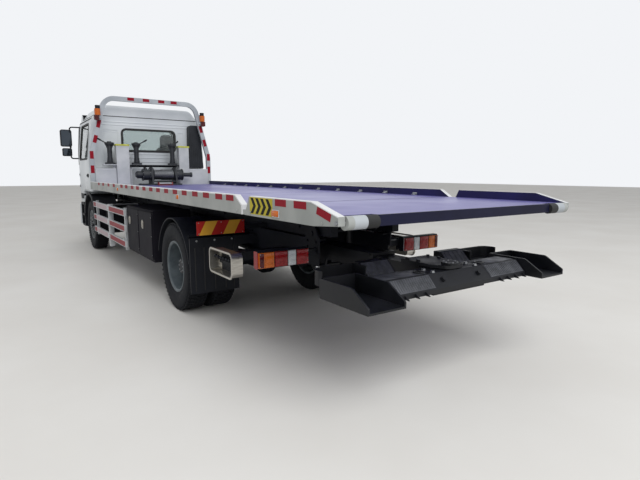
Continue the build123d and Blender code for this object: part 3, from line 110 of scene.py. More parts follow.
# colour and shade are the two ends of a slow drift over patchMm, grainMm and bump are the skin of the finish,
# rough is the middle of the gloss and wear is how far it wanders, sheen is the strength of the reflections
finishColumns = ("colour", "shade", "patchMm", "grainMm", "bump", "rough", "wear", "sheen", "coat", "coatRough")
finishes = {
    # sprayed two-pack enamel, clear and wet looking with a faint orange peel
    "cabEnamel": ("#D3D8DC", "#C6CCD1", 700, 2.5, 0.02, 0.3, 0.06, 0.25, 0.1),
    # brushed-on machine enamel, greyer and flatter than the cab
    "railEnamel": ("#A3A6A4", "#929694", 350, 4, 0.05, 0.42, 0.12, 0.3),
    "edgeEnamel": ("#DFE0E2", "#CFD1D3", 300, 4, 0.04, 0.35, 0.1, 0.5, 0.1),
    # violet deck enamel on steel plate under a clear coat that takes the sky at a low angle, with mill unevenness; its
    # deep blue-violet is lifted towards lavender as a painted reflection of the sky. Then the same enamel darkened as
    # painted shade on the lower lip, the folded edges and the inner faces of the side beams
    "deckEnamel": ("#6B68A6", "#5F5B98", 900, 9, 0.06, 0.36, 0.1, 0.35, 0.15, 0.2),
    "deckLipPaintedShade": ("#101230", "#0C0D24", 400, 5, 0.05, 0.45, 0.1, 0.2),
    "deckEdgePaintedShade": ("#1F1C55", "#181643", 400, 5, 0.05, 0.4, 0.1, 0.25),
    # dipped chassis paint, nearly black, with a thin film of road dust
    "chassisPaint": ("#0D1016", "#16181F", 260, 3, 0.08, 0.55, 0.12, 0.2),
    # satin black over welded plate
    "liftPaint": ("#0E1014", "#17181D", 180, 2.5, 0.1, 0.42, 0.14, 0.3),
    # the same paint scuffed grey on the plates that carry tyres
    "scuffedPaint": ("#4E5056", "#35373C", 70, 2.5, 0.2, 0.46, 0.12),
    # baked enamel on folded sheet, then air-dried paint on rails and guards
    "boxPaint": ("#121118", "#19181F", 400, 3, 0.05, 0.62, 0.1, 0.12),
    "guardPaint": ("#C6C9CC", "#B5B9BD", 250, 3, 0.05, 0.38, 0.1, 0.5, 0.1),
    # powder coat on bent tube
    "tubeCoat": ("#AEB4B9", "#9DA3A9", 250, 2.5, 0.05, 0.4, 0.1, 0.3),
    # stove enamel on pressed wheels, in two tones: the disc is darker than the rim edge as painted shade deep in the
    # dish
    "wheelDiscPaintedShade": ("#2E353A", "#23292D", 90, 2, 0.06, 0.45, 0.12, 0.25),
    "rimEnamel": ("#5C656A", "#4B5358", 110, 2, 0.05, 0.4, 0.1, 0.3),
    # moulded rubber with bloom
    "tyreRubber": ("#0D0F14", "#15171C", 60, 1.5, 0.25, 0.78, 0.1, 0.25),
    "sealRubber": ("#121314", "#1A1B1C", 80, 1.2, 0.1, 0.65, 0.08),
    # moulded polypropylene with a fine leather grain
    "mouldedBlack": ("#0B0E15", "#12151C", 200, 1.6, 0.2, 0.55, 0.08, 0.25),
    "ductPlastic": ("#23262C", "#1A1D22", 200, 1.6, 0.2, 0.5, 0.08, 0.3),
    "mouldedGrey": ("#4B4C50", "#414246", 200, 1.6, 0.2, 0.6, 0.08),
    # sand-cast iron, painted once
    "castIron": ("#161A1F", "#22262C", 60, 2.2, 0.35, 0.5, 0.15),
    # brushed enamel on caps and small castings, then printed sheet
    "yellowCap": ("#C9CB48", "#B4B63A", 120, 2, 0.05, 0.45, 0.1),
    "redEnamel": ("#8E1B1E", "#741418", 80, 2, 0.05, 0.4, 0.1),
    "signYellow": ("#BDAF3C", "#AEA033", 150, 2.5, 0.05, 0.5, 0.1, 0.12),
    "signBlack": ("#0C0C0C", "#141414", 100, 2, 0.03, 0.5, 0.1, 0.12),
    # weld primer under the deck's joint
    "seamFiller": ("#1A1936", "#232149", 60, 2, 0.3, 0.6, 0.1),
}

# colour, shade, fineness of the streaks along x, y and z, roughness, and what the streaks add to it
metals = {
    # cold rolled stainless, brushed along the sheet: long soft streaks
    "stainlessSheet": ("#C9C6BF", "#AAA69E", (4, 60, 60), 0.3, 0.12),
    # hard chrome on a ground rod
    "chromeRod": ("#D9DBDD", "#C4C7CA", (30, 30, 30), 0.12, 0.05),
    # rolled aluminium sheet, dulled by weather
    "tankAlloy": ("#B9BCBE", "#9EA1A4", (10, 40, 40), 0.38, 0.14),
    # aluminised silencer steel, heat stained
    "silencerSteel": ("#8C8780", "#6B6159", (12, 12, 12), 0.5, 0.15),
    # drawn wire rope
    "ropeSteel": ("#8F9194", "#5F6164", (90, 300, 90), 0.4, 0.15),
    # zinc plated fasteners, faintly mottled
    "zincSteel": ("#A9ABAD", "#8D9093", (80, 80, 80), 0.35, 0.12),
    # tinted convex glass over chrome
    "mirrorGlass": ("#4A5057", "#3F454C", (1, 1, 1), 0.04, 0.01),
}

# colour and its deeper shade
lenses = {
    # injection-moulded acrylic over reflectors
    "lensRed": ("#A3161C", "#7A0C12"),
    "lensDark": ("#5A1018", "#430B12"),
    "lensAmber": ("#D9752A", "#B85A16"),
    "lensClear": ("#D9DDDF", "#B9BFC3"),
}

# colour and that of the cell walls
tapes = {
    # glass-bead reflective tape: a faint honeycomb of sealed cells
    "tapeRed": ("#8E1526", "#7C1020"),
    "tapeFaded": ("#8F3F45", "#84383E"),
    "tapeWhite": ("#B9A9AE", "#AE9DA3"),
}

for name, row in finishes.items():
    look = dict(zip(finishColumns, row))
    tree, shader, place = startMaterial(name, {"Coat Weight": look.get("coat", 0.0),
                                               "Coat Roughness": look.get("coatRough", 0.12),
                                               "Specular IOR Level": look.get("sheen", 0.5)})
    drift = addNoise(tree, place, 1000 / look["patchMm"], 3.0)
    grain = addNoise(tree, place, 1000 / look["grainMm"], 2.0)
    colourBetween(tree, shader, drift, (0.35, look["shade"]), (0.65, look["colour"]))
    glossBetween(tree, shader, drift, look["rough"] + look["wear"], look["rough"] - look["wear"] / 2)
    skin = addNode(tree, "ShaderNodeBump", {"Strength": look["bump"], "Distance": look["grainMm"] / 2000},
                   {"Height": grain})
    tree.links.new(skin.outputs[0], shader.inputs["Normal"])

for name, (colour, shade, streak, rough, wear) in metals.items():
    tree, shader, place = startMaterial(name, {"Metallic": 1.0})
    stretched = addNode(tree, "ShaderNodeMapping", {"Scale": streak}, {"Vector": place})
    streaks = addNoise(tree, stretched.outputs[0], 3.0, 4.0)
    colourBetween(tree, shader, streaks, (0.3, shade), (0.7, colour))
    glossBetween(tree, shader, streaks, rough + wear, rough)

lensCellMm, tapeCellMm = 9, 12
for name, (colour, deep) in lenses.items():
    tree, shader, place = startMaterial(name, {"Roughness": 0.16, "Specular IOR Level": 0.3, "Coat Weight": 0.12,
                                               "Coat Roughness": 0.05})
    cells = addNode(tree, "ShaderNodeTexVoronoi", {"Scale": 1000 / lensCellMm}, {"Vector": place})
    colourBetween(tree, shader, cells.outputs["Distance"], (0.1, colour), (0.7, deep))

for name, (colour, cell) in tapes.items():
    tree, shader, place = startMaterial(name, {"Roughness": 0.5, "Specular IOR Level": 0.12})
    cells = addNode(tree, "ShaderNodeTexVoronoi", {"Scale": 1000 / tapeCellMm, "feature": "DISTANCE_TO_EDGE"},
                    {"Vector": place})
    colourBetween(tree, shader, cells.outputs["Distance"], (0.02, cell), (0.08, colour))

# marker board: red and yellow sheeting in slanted bands, 128 mm along the board
boardSpec = {"period": 0.256, "start": 0.795, "slant": 0.53, "low": 0.96}
tree, shader, place = startMaterial("boardSheeting", {"Roughness": 0.5, "Specular IOR Level": 0.15})
axes = addNode(tree, "ShaderNodeSeparateXYZ", {}, {"Vector": place})
across = addMath(tree, "ABSOLUTE", axes.outputs["X"])
slant = addMath(tree, "MULTIPLY_ADD", axes.outputs["Z"], boardSpec["slant"],
                -boardSpec["low"] * boardSpec["slant"] - boardSpec["start"])
share = addMath(tree, "FRACT", addMath(tree, "MULTIPLY", addMath(tree, "ADD", across, slant), 1 / boardSpec["period"]))
colourBetween(tree, shader, share, (0.49, "#CF9A36"), (0.5, "#A3221F"))

# laminated and toughened panes: clear with a green cast
tree, shader, place = startMaterial("tintedGlass", {"Base Color": linearColour("#D3DCDB"), "Roughness": 0.02,
                                                    "Transmission Weight": 0.92, "IOR": 1.45})
glossBetween(tree, shader, addNoise(tree, place, 3.0, 2.0), 0.0, 0.06, 0.0, 1.0)

# woven seat cloth: crossed threads, coarser than real so that they show
threadMm = 2.4
tree, shader, place = startMaterial("seatCloth", {"Roughness": 0.9, "Sheen Weight": 0.3})
warp, weft = (addNode(tree, "ShaderNodeTexWave", {"Scale": 1000 / threadMm / 6.283, "bands_direction": axis},
                      {"Vector": place}).outputs["Fac"] for axis in "XZ")
weave = addMath(tree, "MULTIPLY", warp, weft)
colourBetween(tree, shader, weave, (0.1, "#26272B"), (0.7, "#3B3D43"))
raised = addNode(tree, "ShaderNodeBump", {"Strength": 0.4, "Distance": 0.001}, {"Height": weave})
tree.links.new(raised.outputs[0], shader.inputs["Normal"])
print("materials:", len(materials))


def span(centre, half):
    return centre - half, centre + half


def rectangle(u0, u1, v0, v1):
    return [(u0, v0), (u1, v0), (u1, v1), (u0, v1)]


def boltCircle(x, y, z, radius, count, shift=0.0):
    # spots round a line across the truck; shift turns the first one by a share of a step
    angles = [math.tau * (number + shift) / count for number in range(count)]
    return [(x, y + math.cos(angle) * radius, z + math.sin(angle) * radius) for angle in angles]


def allOf(bm):
    return bm.verts[:] + bm.edges[:] + bm.faces[:]


def roundOff(bm, geometry, offset, segments, affect="EDGES"):
    bmesh.ops.bevel(bm, geom=geometry, offset=offset, segments=segments, affect=affect, profile=0.5, material=-1)


def startPiece():
    return {"bm": bmesh.new(), "finishes": []}


def mergeInto(piece, finish, part):
    # the part is drawn from the front axle and joins the piece with a finish of its own
    if finish not in piece["finishes"]:
        piece["finishes"].append(finish)
    for face in part.faces:
        face.material_index = piece["finishes"].index(finish)
    bmesh.ops.recalc_face_normals(part, faces=part.faces)
    bmesh.ops.translate(part, vec=(0, shiftY, 0), verts=part.verts)
    passing = bpy.data.meshes.new("passing")
    part.to_mesh(passing)
    part.free()
    piece["bm"].from_mesh(passing)
    bpy.data.meshes.remove(passing)


def mirrorAcross(piece):
    bm = piece["bm"]
    bmesh.ops.mirror(bm, geom=allOf(bm), merge_dist=-1, axis="X")
    bmesh.ops.recalc_face_normals(bm, faces=bm.faces)


def newObject(name, data):
    made = bpy.data.objects.new(name, data)
    bpy.context.scene.collection.objects.link(made)
    return made


def finishPiece(name, piece, body, hides=()):
    bm = piece["bm"]
    for face in bm.faces:
        face.smooth = True
    for edge in bm.edges:
        edge.smooth = edge.is_manifold and edge.calc_face_angle(math.pi) < creaseAngle
    mesh = bpy.data.meshes.new(name)
    bm.to_mesh(mesh)
    bm.free()
    made = newObject(name, mesh)
    for finish in piece["finishes"]:
        mesh.materials.append(materials[finish])
    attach(made, body)
    if hides:
        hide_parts(*hides)
    return made


def dressNode(node, finish, choose=None, cuts=()):
    # a merged copy of the solid, so that its curves shade smoothly; choose gives each face its finish, and cuts
    # are the levels across the truck where the finish changes inside a face
    bm = bmesh.new()
    bm.from_mesh(nodes[node].data)
    bmesh.ops.remove_doubles(bm, verts=bm.verts, dist=weldDistance)
    for level in cuts:
        bmesh.ops.bisect_plane(bm, geom=allOf(bm), plane_co=(level, 0, 0), plane_no=(1, 0, 0))
    for face in bm.faces:
        face.material_index = choose(face.calc_center_median() - Vector((0, shiftY, 0)), face.normal) if choose else 0
    piece = {"bm": bm, "finishes": [finish] if isinstance(finish, str) else finish}
    return finishPiece(node + "_dressed", piece, bodyOf[node], (node,))


def addBlock(piece, finish, x, y, z, edge=0.0, turn=None):
    part = bmesh.new()
    size = (abs(x[1] - x[0]), abs(y[1] - y[0]), abs(z[1] - z[0]), 1)
    bmesh.ops.create_cube(part, size=1, matrix=Matrix.Diagonal(size))
    if edge:
        roundOff(part, part.edges[:], edge, 2)
    if turn:
        bmesh.ops.transform(part, matrix=turn.to_4x4(), verts=part.verts)
    centre = ((x[0] + x[1]) / 2, (y[0] + y[1]) / 2, (z[0] + z[1]) / 2)
    bmesh.ops.translate(part, vec=centre, verts=part.verts)
    mergeInto(piece, finish, part)


def addRod(piece, finish, start, end, radius, steps=16):
    a, b = Vector(start), Vector(end)
    part = bmesh.new()
    place = Matrix.Translation((a + b) / 2) @ (b - a).to_track_quat("Z", "Y").to_matrix().to_4x4()
    bmesh.ops.create_cone(part, cap_ends=True, segments=steps, radius1=radius, radius2=radius, depth=(b - a).length,
                          matrix=place)
    mergeInto(piece, finish, part)


def addBolts(piece, spots, axis, size, finish="zincSteel"):
    # hexagon heads on washers; size is half the head's width over its corners
    along = Vector(axis).normalized()
    for start in map(Vector, spots):
        washerTop = start + along * size * 0.2
        addRod(piece, finish, start, washerTop, size * 1.2, 14)
        addRod(piece, finish, washerTop, start + along * size * 0.85, size, 6)


def addLathe(piece, finish, outline, centre, axis, steps, closed=False):
    # outline is (radius, distance along the axis)
    along = Vector(axis).normalized()
    across = along.orthogonal().normalized()
    middle = Vector(centre)
    part = bmesh.new()
    spots = [part.verts.new(middle + along * d + across * r) for r, d in outline]
    pairs = list(zip(spots, spots[1:])) + ([(spots[-1], spots[0])] if closed else [])
    edges = [part.edges.new(pair) for pair in pairs]
    bmesh.ops.spin(part, geom=spots + edges, cent=middle, axis=along, angle=math.tau, steps=steps, use_merge=True)
    bmesh.ops.remove_doubles(part, verts=part.verts, dist=0.00002)
    mergeInto(piece, finish, part)


def addRing(piece, finish, centre, axis, radius, thick, steps=24, around=8):
    along = Vector(axis).normalized()
    across = along.orthogonal().normalized()
    part = bmesh.new()
    turn = Matrix((across, along, across.cross(along))).transposed().to_4x4()
    bmesh.ops.create_circle(part, segments=around, radius=thick, matrix=Matrix.Translation(across * radius) @ turn)
    bmesh.ops.spin(part, geom=part.verts[:] + part.edges[:], axis=along, angle=math.tau, steps=steps, use_merge=True)
    bmesh.ops.translate(part, vec=Vector(centre), verts=part.verts)
    mergeInto(piece, finish, part)


def addPlate(piece, finish, corners, axis, low, high, radius=0.0, ring=0.0, lean=None):
    # corners lie in the plane across axis; the plate runs from low to high along it, as a frame where ring is given
    order = {"X": lambda u, v, w: (w, u, v), "Y": lambda u, v, w: (u, w, v), "Z": lambda u, v, w: (u, v, w)}[axis]
    part = bmesh.new()
    spots = [part.verts.new(order(u, v, low)) for u, v in corners]
    part.faces.new(spots)
    if radius:
        roundOff(part, part.verts[:], radius, 6, "VERTICES")
    if ring:
        inner = part.faces[:]
        bmesh.ops.inset_region(part, faces=inner, thickness=ring, use_even_offset=True, use_boundary=True)
        bmesh.ops.delete(part, geom=inner, context="FACES")
    made = bmesh.ops.extrude_face_region(part, geom=part.faces[:], use_keep_orig=True)
    moved = [g for g in made["geom"] if isinstance(g, bmesh.types.BMVert)]
    bmesh.ops.translate(part, verts=moved, vec=order(0, 0, high - low))
    if lean:
        for vert in part.verts:
            vert.co.x += lean(vert.co)
    mergeInto(piece, finish, part)


def addSkin(piece, finish, node, x, y, z, thick):
    # a strip that hugs the outside of a cab panel inside the given box
    part = bmesh.new()
    part.from_mesh(nodes[node].data)
    bmesh.ops.remove_doubles(part, verts=part.verts, dist=weldDistance)
    bmesh.ops.translate(part, vec=(0, -shiftY, 0), verts=part.verts)
    for axis, ends in zip((outward, rearward, upward), (x, y, z)):
        for level, sign in ((ends[0], -1), (ends[1], 1)):
            bmesh.ops.bisect_plane(part, geom=allOf(part), plane_co=Vector(axis) * level,
                                   plane_no=Vector(axis) * sign, clear_outer=True)
    core = Vector((0, -0.55, 1.9))  # the middle of the cab, which the faces of the lining look towards
    hidden = [f for f in part.faces if (f.calc_center_median() - core).dot(f.normal) < 0.25]
    bmesh.ops.delete(part, geom=hidden, context="FACES")
    if part.faces:
        bmesh.ops.solidify(part, geom=part.faces[:], thickness=-thick)
    mergeInto(piece, finish, part)


# finish of every solid that keeps its own shape
nodeFinish = {
    "chassis_frame": "chassisPaint", "front_axle": "chassisPaint", "rear_axle": "chassisPaint", "engine": "castIron",
    "prop_shaft": "chassisPaint", "battery_box": "chassisPaint", "exhaust": "silencerSteel",
    "side_guards": "guardPaint", "mudguards": "mouldedBlack", "headlamps": "mouldedBlack", "steps": "mouldedBlack",
    "cab_glass": "tintedGlass", "mirrors": "mouldedBlack", "snorkel": "ductPlastic", "tie_rod": "chassisPaint",
    "tilt_frame": "chassisPaint", "tilt_barrels": "chassisPaint", "tilt_rods": "chromeRod", "slide_rod": "chromeRod",
    "hoop": "tubeCoat", "fork_adapters": "castIron", "winch_body": "castIron", "winch_drum": "castIron",
    "lift_boom": "liftPaint", "lift_extension": "liftPaint", "crossbar": "liftPaint",
    "lift_barrels": "liftPaint", "lift_rods": "chromeRod",
}
for side, sign in sides:
    nodeFinish.update({f"door_glass_{side}": "tintedGlass", f"knuckle_{side}": "chassisPaint"})
for node, finish in nodeFinish.items():
    dressNode(node, finish)


# each of these takes a face's middle and normal, and gives the place in the list of finishes that dressNode gets
def boxFinish(spot, normal):
    if abs(spot.x) < 1.0349:
        return 2
    return int(1.0405 < abs(spot.x) < 1.1405 and 0.715 < spot.z < 0.812 and 6.55 < spot.y < 6.97)


# faces turned in towards the deck take the deck enamel darkened as painted shade
def beamFinish(spot, normal):
    if normal.z > 0.3 or 7.3 < spot.y < 7.46 and normal.y > 0.5:
        return 1
    return 2 if normal.x * spot.x < -0.5 * abs(spot.x) else 0


def guardFinish(spot, normal):
    if spot.z > 2.11 and abs(spot.x) > 0.48:
        return 1
    return 2 if spot.y < 0.53 or 1.69 < spot.z < 1.76 and abs(spot.x) < 0.52 else 0


def doorFinish(spot, normal):
    if abs(spot.x) > 1.201:
        return 1
    return 2 if -0.94 < spot.y < 0.055 and 1.87 < spot.z < 2.57 and abs(normal.x) < 0.6 else 0


# the deck's upright faces and its tail end take the enamel darkened as painted shade, its underside chassis paint
def deckFinish(spot, normal):
    if spot.y > 8.69:
        return 3
    return 1 if spot.z < 1.3265 else 2 if abs(normal.z) < 0.5 else 0


def lampFinish(spot, normal):
    x = abs(spot.x)
    if x > 1.0795:
        return 1
    if spot.y < 7.3999:
        return 0
    return 1 if x < 0.718 else 3 if x < 0.803 else 1 if x < 0.932 else 2


def shellFinish(spot, normal):
    rearWindow = spot.y > 0.1 and abs(spot.x) < 0.54 and 2.05 < spot.z < 2.47 and abs(normal.y) < 0.6
    windscreen = spot.y < -1.05 and abs(spot.x) < 1.03 and 1.79 < spot.z < 2.61 and abs(normal.y) < 0.6
    return int(rearWindow or windscreen)


def panelFinish(spot, normal):
    lowIntake = abs(spot.x) < 0.7 and 1.1201 < spot.z < 1.3299
    highIntake = abs(spot.x) < 0.82 and 1.4401 < spot.z < 1.5599
    return int(lowIntake or highIntake)


def shoulderFinish(spot, normal):
    if math.hypot(abs(spot.x) - 1.06, spot.y - 0.63) > 0.075 or spot.y < 0.606:
        return 3
    return 0 if spot.z > 2.818 else 1 if spot.z > 2.693 else 2


def tankFinish(spot, normal):
    strap = 1.679 < spot.y < 1.731 or 2.219 < spot.y < 2.271
    return int(strap or spot.z < 0.4225 or spot.z > 0.925 or spot.x > -0.555)


def lockerFinish(spot, normal):
    return int(abs(spot.x) > 1.2045)


def boardFinish(spot, normal):
    return int(spot.y < 6.2999 or abs(spot.x) < 0.679)


# the roller's inner length takes dark rubber as painted shade, as dark as the shaded lip; the sleeve is powder coat
# and the ends rail enamel
def rollerFinish(spot, normal):
    return 0 if 1.035 < abs(spot.x) < 1.135 else 1 if abs(spot.x) > 1.1 else 2


def bumperFinish(spot, normal):
    if 0.3499 < abs(spot.x) < 0.4301 and spot.y > -1.3399:
        return 2
    return int(abs(spot.x) < 0.4199 and 0.5549 < spot.z < 0.6091 and spot.y > -1.3881)


def dashFinish(spot, normal):
    return int(math.hypot(spot.x - 0.56, spot.y + 0.76) < 0.24 and spot.z > 1.55 and spot.y > -0.99)


def roofFinish(spot, normal):
    return int(spot.y < -1.2 and spot.z > 2.69 and spot.y < -1.37 + (spot.z - 2.69) * 1.06 + 0.02)


dressNode("control_boxes", ["stainlessSheet", "mouldedBlack", "chassisPaint"], boxFinish)
dressNode("side_beams", ["railEnamel", "edgeEnamel", "deckEdgePaintedShade"], beamFinish)
dressNode("rope_guards", ["guardPaint", "yellowCap", "chassisPaint"], guardFinish)
dressNode("bed_deck", ["deckEnamel", "chassisPaint", "deckEdgePaintedShade", "deckLipPaintedShade"], deckFinish)
dressNode("tail_lamps", ["mouldedBlack", "lensRed", "lensAmber", "lensClear"], lampFinish)
dressNode("cab_shell", ["cabEnamel", "sealRubber"], shellFinish)
dressNode("cab_roof", ["cabEnamel", "mouldedBlack"], roofFinish)
dressNode("front_panel", ["cabEnamel", "mouldedBlack"], panelFinish)
dressNode("shoulder_lamps", ["mouldedBlack", "lensAmber", "lensDark", "guardPaint"], shoulderFinish)
dressNode("fuel_tank", ["tankAlloy", "chassisPaint"], tankFinish)
dressNode("toolboxes", ["boxPaint", "stainlessSheet"], lockerFinish)
dressNode("warning_boards", ["boardSheeting", "chassisPaint"], boardFinish, (-0.68, 0.68))
# the tail rollers' inner lengths are dark rubber as painted shade
dressNode("tail_rollers", ["tubeCoat", "railEnamel", "sealRubber"], rollerFinish, (-1.135, -1.035, 1.035, 1.135))
dressNode("bumper", ["cabEnamel", "mouldedBlack", "chassisPaint"], bumperFinish)
dressNode("dashboard", ["mouldedGrey", "mouldedBlack"], dashFinish)
for side, sign in sides:
    dressNode(f"door_{side}", ["cabEnamel", "mouldedBlack", "sealRubber"], doorFinish)
print("solids dressed")

# tyres: a smooth carcass with the tread blocks standing on it
tyreSpec = {
    "steps": 72, "pitches": 52, "hub": 0.509, "treadRadius": 0.508, "blockRadius": 0.501, "blockHeight": 0.0135,
    "bar": (0.1115, 0.487, 0.75, (0.024, 0.022, 0.012)),  # shoulder bar: distance from the middle, radius, turn, size
    "half": [(0.283, 0.095), (0.298, 0.0955), (0.303, 0.103), (0.318, 0.1085), (0.331, 0.1148), (0.337, 0.1142),
             (0.344, 0.1185), (0.372, 0.1245), (0.405, 0.1275), (0.438, 0.1265), (0.466, 0.1225), (0.484, 0.1145),
             (0.494, 0.1035), (0.4965, 0.09)],
    "steerFill": 0.93, "driveFill": 0.8,  # share of a pitch that a block fills
    # distance from the middle, width, shift along the tread as a share of a pitch, turn in degrees
    "steerRows": [(0, 0.034, 0, 0), (0.043, 0.034, 0.5, 0), (-0.043, 0.034, 0.5, 0), (0.086, 0.036, 0.2, 0),
                  (-0.086, 0.036, 0.2, 0)],
    "driveRows": [(0.02, 0.034, 0, 14), (-0.02, 0.034, 0.5, 14), (0.06, 0.034, 0.25, -10), (-0.06, 0.034, 0.75, -10),
                  (0.095, 0.026, 0.5, 0), (-0.095, 0.026, 0, 0)],
}


def addTyre(piece, x, y, rows, fill):
    half = tyreSpec["half"]
    outline = [(r, -d) for r, d in half] + [(r, d) for r, d in reversed(half)]
    addLathe(piece, "tyreRubber", outline, (x, y, tyreSpec["hub"]), outward, tyreSpec["steps"], closed=True)
    pitch = math.tau / tyreSpec["pitches"]
    part = bmesh.new()
    for distance, width, shift, turn in rows:
        place = Matrix.Rotation(shift * pitch, 4, "X") @ Matrix.Translation((distance, 0, tyreSpec["blockRadius"]))
        size = (width, tyreSpec["treadRadius"] * pitch * fill, tyreSpec["blockHeight"], 1)
        place = place @ Matrix.Rotation(math.radians(turn), 4, "Z") @ Matrix.Diagonal(size)
        bmesh.ops.create_cube(part, size=1, matrix=place)
    distance, radius, turn, size = tyreSpec["bar"]
    for side in (-1, 1):
        place = Matrix.Translation((side * distance, 0, radius)) @ Matrix.Rotation(side * turn, 4, "Y")
        bmesh.ops.create_cube(part, size=1, matrix=place @ Matrix.Diagonal(size + (1,)))
    bmesh.ops.spin(part, geom=allOf(part), axis=outward, angle=math.tau - pitch, steps=tyreSpec["pitches"] - 1,
                   use_duplicate=True)
    bmesh.ops.translate(part, vec=(x, y, tyreSpec["hub"]), verts=part.verts)
    mergeInto(piece, "tyreRubber", part)


# the disc between flange and hub cover takes the darker tone, painted shade of the deep dish
def rimFinish(axleY):
    def choose(spot, normal):
        reach = math.hypot(spot.y - axleY, spot.z - tyreSpec["hub"])
        return 1 if reach > wheelSpec["flange"] else 2 if reach < wheelSpec["hubCover"] else 0
    return choose


wheelSpec = {
    "rearAxle": 5.475, "frontX": 1.062, "outerX": 1.063, "innerX": 0.743, "flange": 0.262, "hubCover": 0.127,
    "nuts": 10, "nutCircle": 0.1475, "screws": 8,
    # end, axle, disc's face, hub cover's face, circle of its screws
    "ends": (("front", 0, 1.164, 1.190, 0.055), ("rear", 5.475, 0.918, 1.100, 0.068)),
}
hub = tyreSpec["hub"]
for side, sign in sides:
    piece = startPiece()
    addTyre(piece, sign * wheelSpec["frontX"], 0, tyreSpec["steerRows"], tyreSpec["steerFill"])
    finishPiece(f"steer_tyre_{side}", piece, f"front_wheel_{side}", (f"front_tyre_{side}",))
    for place in ("outer", "inner"):
        piece = startPiece()
        addTyre(piece, sign * wheelSpec[place + "X"], wheelSpec["rearAxle"], tyreSpec["driveRows"],
                tyreSpec["driveFill"])
        finishPiece(f"drive_tyre_{place}_{side}", piece, f"rear_wheel_{side}", (f"rear_tyres_{side}",))
    dressNode(f"front_rim_{side}", ["wheelDiscPaintedShade", "rimEnamel", "castIron"], rimFinish(0))
    dressNode(f"rear_rims_{side}", ["wheelDiscPaintedShade", "rimEnamel", "castIron"], rimFinish(wheelSpec["rearAxle"]))
    # nuts on their studs, hub cover screws and the valve
    for end, y, face, cap, capCircle in wheelSpec["ends"]:
        piece = startPiece()
        out = Vector((sign, 0, 0))
        for spot in map(Vector, boltCircle(sign * face, y, hub, wheelSpec["nutCircle"], wheelSpec["nuts"], 0.5)):
            addBolts(piece, [spot], out, 0.0185)
            addRod(piece, "zincSteel", spot + out * 0.015, spot + out * 0.028, 0.0085, 10)
        addBolts(piece, boltCircle(sign * cap, y, hub, capCircle, wheelSpec["screws"]), out, 0.009)
        valve = [(sign * (face + reach), y + back, hub) for reach, back in ((0.02, 0.25), (0.07, 0.262))]
        addRod(piece, "mouldedBlack", *valve, 0.006, 8)
        finishPiece(f"wheel_nuts_{end}_{side}", piece, f"{end}_wheel_{side}")
print("wheels done")

# bed: reflective squares, placards, marker lamps, white edges, lashing rings and the deck's joint
bedSpec = {
    "squares": [1.40, 1.81, 2.27, 2.69, 3.24, 3.55, 3.90, 4.20, 4.53, 4.85, 5.16, 5.48, 5.79, 6.09, 6.40, 6.69, 6.99,
                7.22, 8.06, 8.31],
    "squareSize": (0.15, 0.048), "squareLevel": 1.381, "tape": 0.0012, "face": 1.24, "seam": 7.45, "top": 1.335,
    "welds": (1.9, 3.75, 5.6), "sign": (7.592, 7.948, 1.276, 1.404),
    "rings": [1.5, 2.0, 2.5, 3.0, 3.49, 3.98, 4.47, 4.97, 5.46, 5.96, 6.45, 6.95],
    "chevrons": 4, "chevronStart": 7.607, "chevronPitch": 0.08, "chevronWidth": 0.042, "chevronTip": 0.046,
}
face, top, tapeFace = bedSpec["face"], bedSpec["top"], bedSpec["face"] + bedSpec["tape"]
length, height = bedSpec["squareSize"]
piece = startPiece()
for y in bedSpec["squares"]:
    addBlock(piece, "tapeRed", (face, tapeFace), span(y, length / 2), span(bedSpec["squareLevel"], height / 2))
addBlock(piece, "tapeRed", (face, tapeFace), (8.50, 8.65), (1.318, 1.366), 0, Matrix.Rotation(-0.262, 3, "X"))
addPlate(piece, "signYellow", rectangle(*bedSpec["sign"]), "X", face, tapeFace, 0.004)
low, high = bedSpec["sign"][2:]
middle = (low + high) / 2
for number in range(bedSpec["chevrons"]):
    y = bedSpec["chevronStart"] + number * bedSpec["chevronPitch"]
    wide, tip = bedSpec["chevronWidth"], bedSpec["chevronTip"]
    for end in (low + 0.006, high - 0.006):  # two slanted strokes meet in the point
        addPlate(piece, "signBlack", [(y, end), (y + wide, end), (y + wide + tip, middle), (y + tip, middle)], "X",
                 tapeFace, face + 0.002)
mirrorAcross(piece)
finishPiece("bed_tapes_and_placards", piece, "bed")

piece = startPiece()
stripe = (face, face + 0.0008)
addBlock(piece, "edgeEnamel", stripe, (0.5, 7.325), (1.400, 1.410))
addBlock(piece, "edgeEnamel", stripe, (7.58, 8.44), (1.4035, 1.410))
for corners in ([(7.325, 1.410), (7.325, 1.396), (7.435, 1.330), (7.435, 1.26), (7.45, 1.26), (7.45, 1.335)],
                [(8.44, 1.41), (8.44, 1.4035), (8.72, 1.3285), (8.72, 1.335)]):
    addPlate(piece, "edgeEnamel", corners, "X", *stripe)
mirrorAcross(piece)
finishPiece("bed_edge_stripes", piece, "bed")

piece = startPiece()
for y0, y1, z0, z1 in ((7.955, 8.04, 1.283, 1.325), (5.86, 5.92, 1.308, 1.352), (2.96, 3.02, 1.308, 1.352)):
    addBlock(piece, "guardPaint", (face, face + 0.006), (y0 - 0.006, y1 + 0.006), (z0 - 0.006, z1 + 0.006), 0.002)
    addBlock(piece, "lensAmber", (face + 0.004, face + 0.018), (y0, y1), (z0, z1), 0.005)
mirrorAcross(piece)
finishPiece("bed_marker_lamps", piece, "bed")

